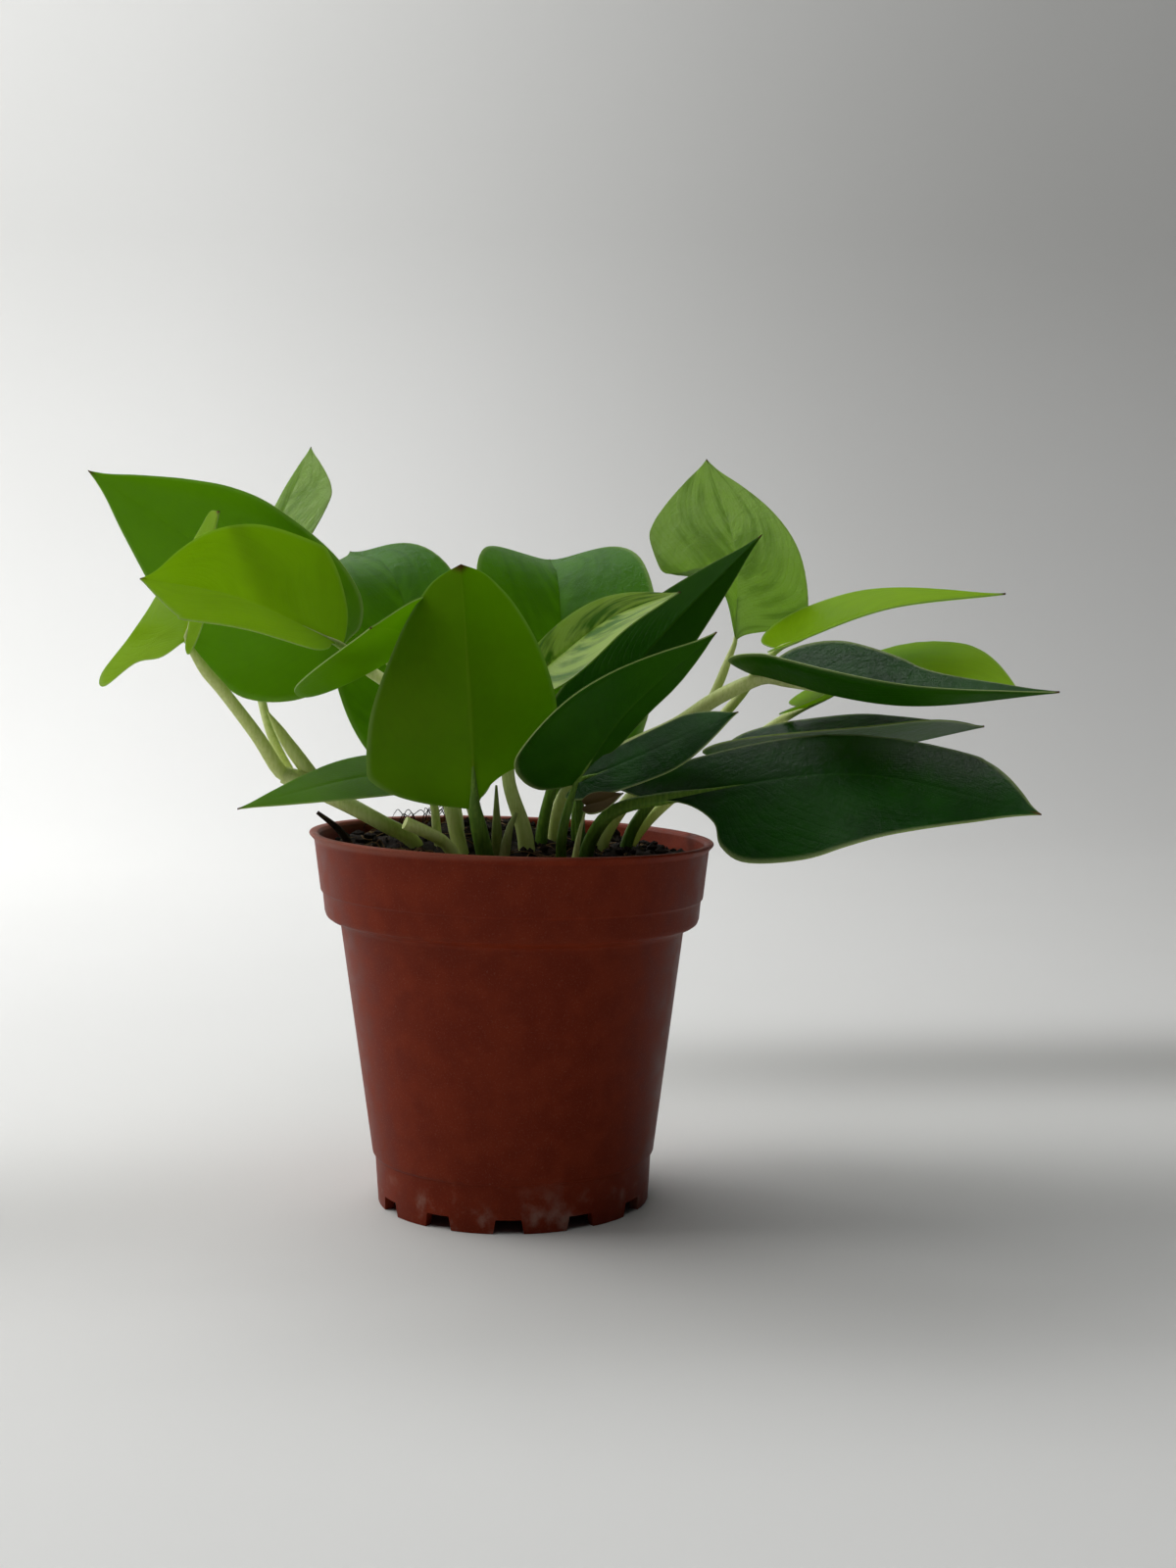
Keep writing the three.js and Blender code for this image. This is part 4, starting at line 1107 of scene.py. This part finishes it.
def grooved_outline():
    """A closed curve round a unit circle with one shallow groove."""
    data = bpy.data.curves.new("stalk_outline", "CURVE")
    ring = data.splines.new("POLY")
    ring.points.add(OUTLINE_POINTS - 1)
    for k, point in enumerate(ring.points):
        turn = 2 * math.pi * k / OUTLINE_POINTS
        radius = MM * (1 - GROOVE_SHARE * max(0, math.cos(turn)) ** 8)
        point.co = (radius * math.cos(turn), radius * math.sin(turn), 0, 1)
    ring.use_cyclic_u = True
    return into_scene("stalk_outline", data)


def resample(route, radii, spacing=2.0):
    """Evenly spaced points on the smooth line through a route, with a radius for each."""
    fine = spline(route, np.linspace(0, 1, 400))
    run = np.concatenate([[0], np.cumsum(np.linalg.norm(np.diff(fine, axis=0), axis=1))])
    count = max(4, int(run[-1] / spacing))
    wanted = np.linspace(0, run[-1], count)
    places = np.stack([np.interp(wanted, run, fine[:, axis]) for axis in range(3)], axis=1)
    thickness = np.interp(wanted / run[-1], np.linspace(0, 1, len(radii)), radii)
    return places, thickness


def make_tube(name, places, thickness, outline, finish):
    data = new_curve(name)
    data.bevel_mode = "OBJECT"
    data.bevel_object = outline
    line = data.splines.new("POLY")
    line.points.add(len(places) - 1)
    for point, place, radius in zip(line.points, places, thickness):
        point.co = (*(place * MM), 1)
        point.radius = radius
    piece = curve_to_mesh(data)
    bpy.ops.object.shade_smooth_by_angle(angle=math.radians(50))
    piece.data.materials.clear()
    piece.data.materials.append(finish)
    return piece


def stalk_route(leaf):
    """The stalk's route, and on under the midrib, where it thins out."""
    share = np.array([0.0, 0.1, 0.24])
    centre, _, up = blade_frame(leaf, share)
    below = centre - up * np.array([[0.5], [0.35], [0.15]])
    start = [VINE_NODE] if leaf["stalk"][0][2] > VINE_NODE[2] else []
    route = [*start, *leaf["stalk"], *below]
    base, end = leaf.get("radii", USUAL_RADII)
    steps = len(leaf["stalk"]) + len(start)
    radii = [base + (end - base) * k / steps for k in range(steps + 1)] + [end * 0.45, 0.15]
    return route, radii


outline = grooved_outline()
GREEN_STALKS = {"centre_long", "centre_rolled", "centre_low", "back_centre", "right_long", "right_front",
                "front"}
for name, leaf in LEAVES.items():
    finish = green_stalk if name in GREEN_STALKS else pale_stalk
    places, thickness = resample(*stalk_route(leaf))
    stalk = make_tube(f"stalk_of_{name}", places, thickness, outline, finish)
    settle(stalk, f"stalk_of_{name}", "stalk", f"stalk_{name}")
print("stalks:", len(LEAVES))

# %% [markdown]
# The vine leans out over the rim, thick and pale, with a swollen node where two leaves and a new
# shoot start. The other stems are a cut stub, papery sheaths and a dead twig. All are tubes, with
# more radii where the shape swells, and pale stalks unless their entry says otherwise.
# %% The vine and the loose stems
SPACING = 1.2
STEMS = {
    "vine_stem": dict(
        radii=(1.9, 1.9, 1.95, 2.0, 2.0, 2.1, 2.3, 3.0, 2.2),
        route=[(-22, -13, 86), (-25, -14, 95), (-33, -14, 100), (-45, -10, 106), (-51, -10, 109),
               (-58, -10, 112)]),
    "vine_shoot": dict(
        radii=(1.9, 1.9, 1.8, 1.3, 0.2),
        route=[(-49, -10, 109), (-52, -9, 113), (-57, -9, 120), (-62, -9, 128)]),
    "cut_stem": dict(
        radii=(1.5, 1.5, 1.6),
        route=[(-10, -29, 87), (-16, -31, 96), (-20, -33, 99), (-26, -35, 102)]),
    "leaf_sheath_front": dict(
        finish=sheath_skin, slot="sheath", radii=(1.4, 1.3, 0.5),
        route=[(-3, -34, 87), (-1, -33, 99), (1, -32, 104)]),
    "leaf_sheath_middle": dict(
        finish=sheath_skin, slot="sheath", radii=(1.6, 1.4, 0.3),
        route=[(-4, -22, 87), (-4, -24, 99), (-4, -22, 110)]),
    "leaf_sheath_right": dict(
        finish=green_stalk, slot="sheath", radii=(1.4, 1.3, 1.0, 0.2),
        route=[(17, -4, 87), (17, -4, 104), (24, -5, 117), (34, -7, 126)]),
    "twig": dict(
        finish=dead_wood, slot="dry_wood", radii=(0.5, 0.8, 1.0, 1.1),
        route=[(-50, -6, 102), (-45, -6, 98), (-42, -6, 94), (-40, -5, 90)]),
}
for name, stem in STEMS.items():
    places, thickness = resample(stem["route"], stem["radii"], SPACING)
    piece = make_tube(f"{name}_shaped", places, thickness, outline, stem.get("finish", pale_stalk))
    settle(piece, f"{name}_shaped", stem.get("slot", "stalk"), name)
bpy.data.objects.remove(outline)
print("stems:", len(STEMS))
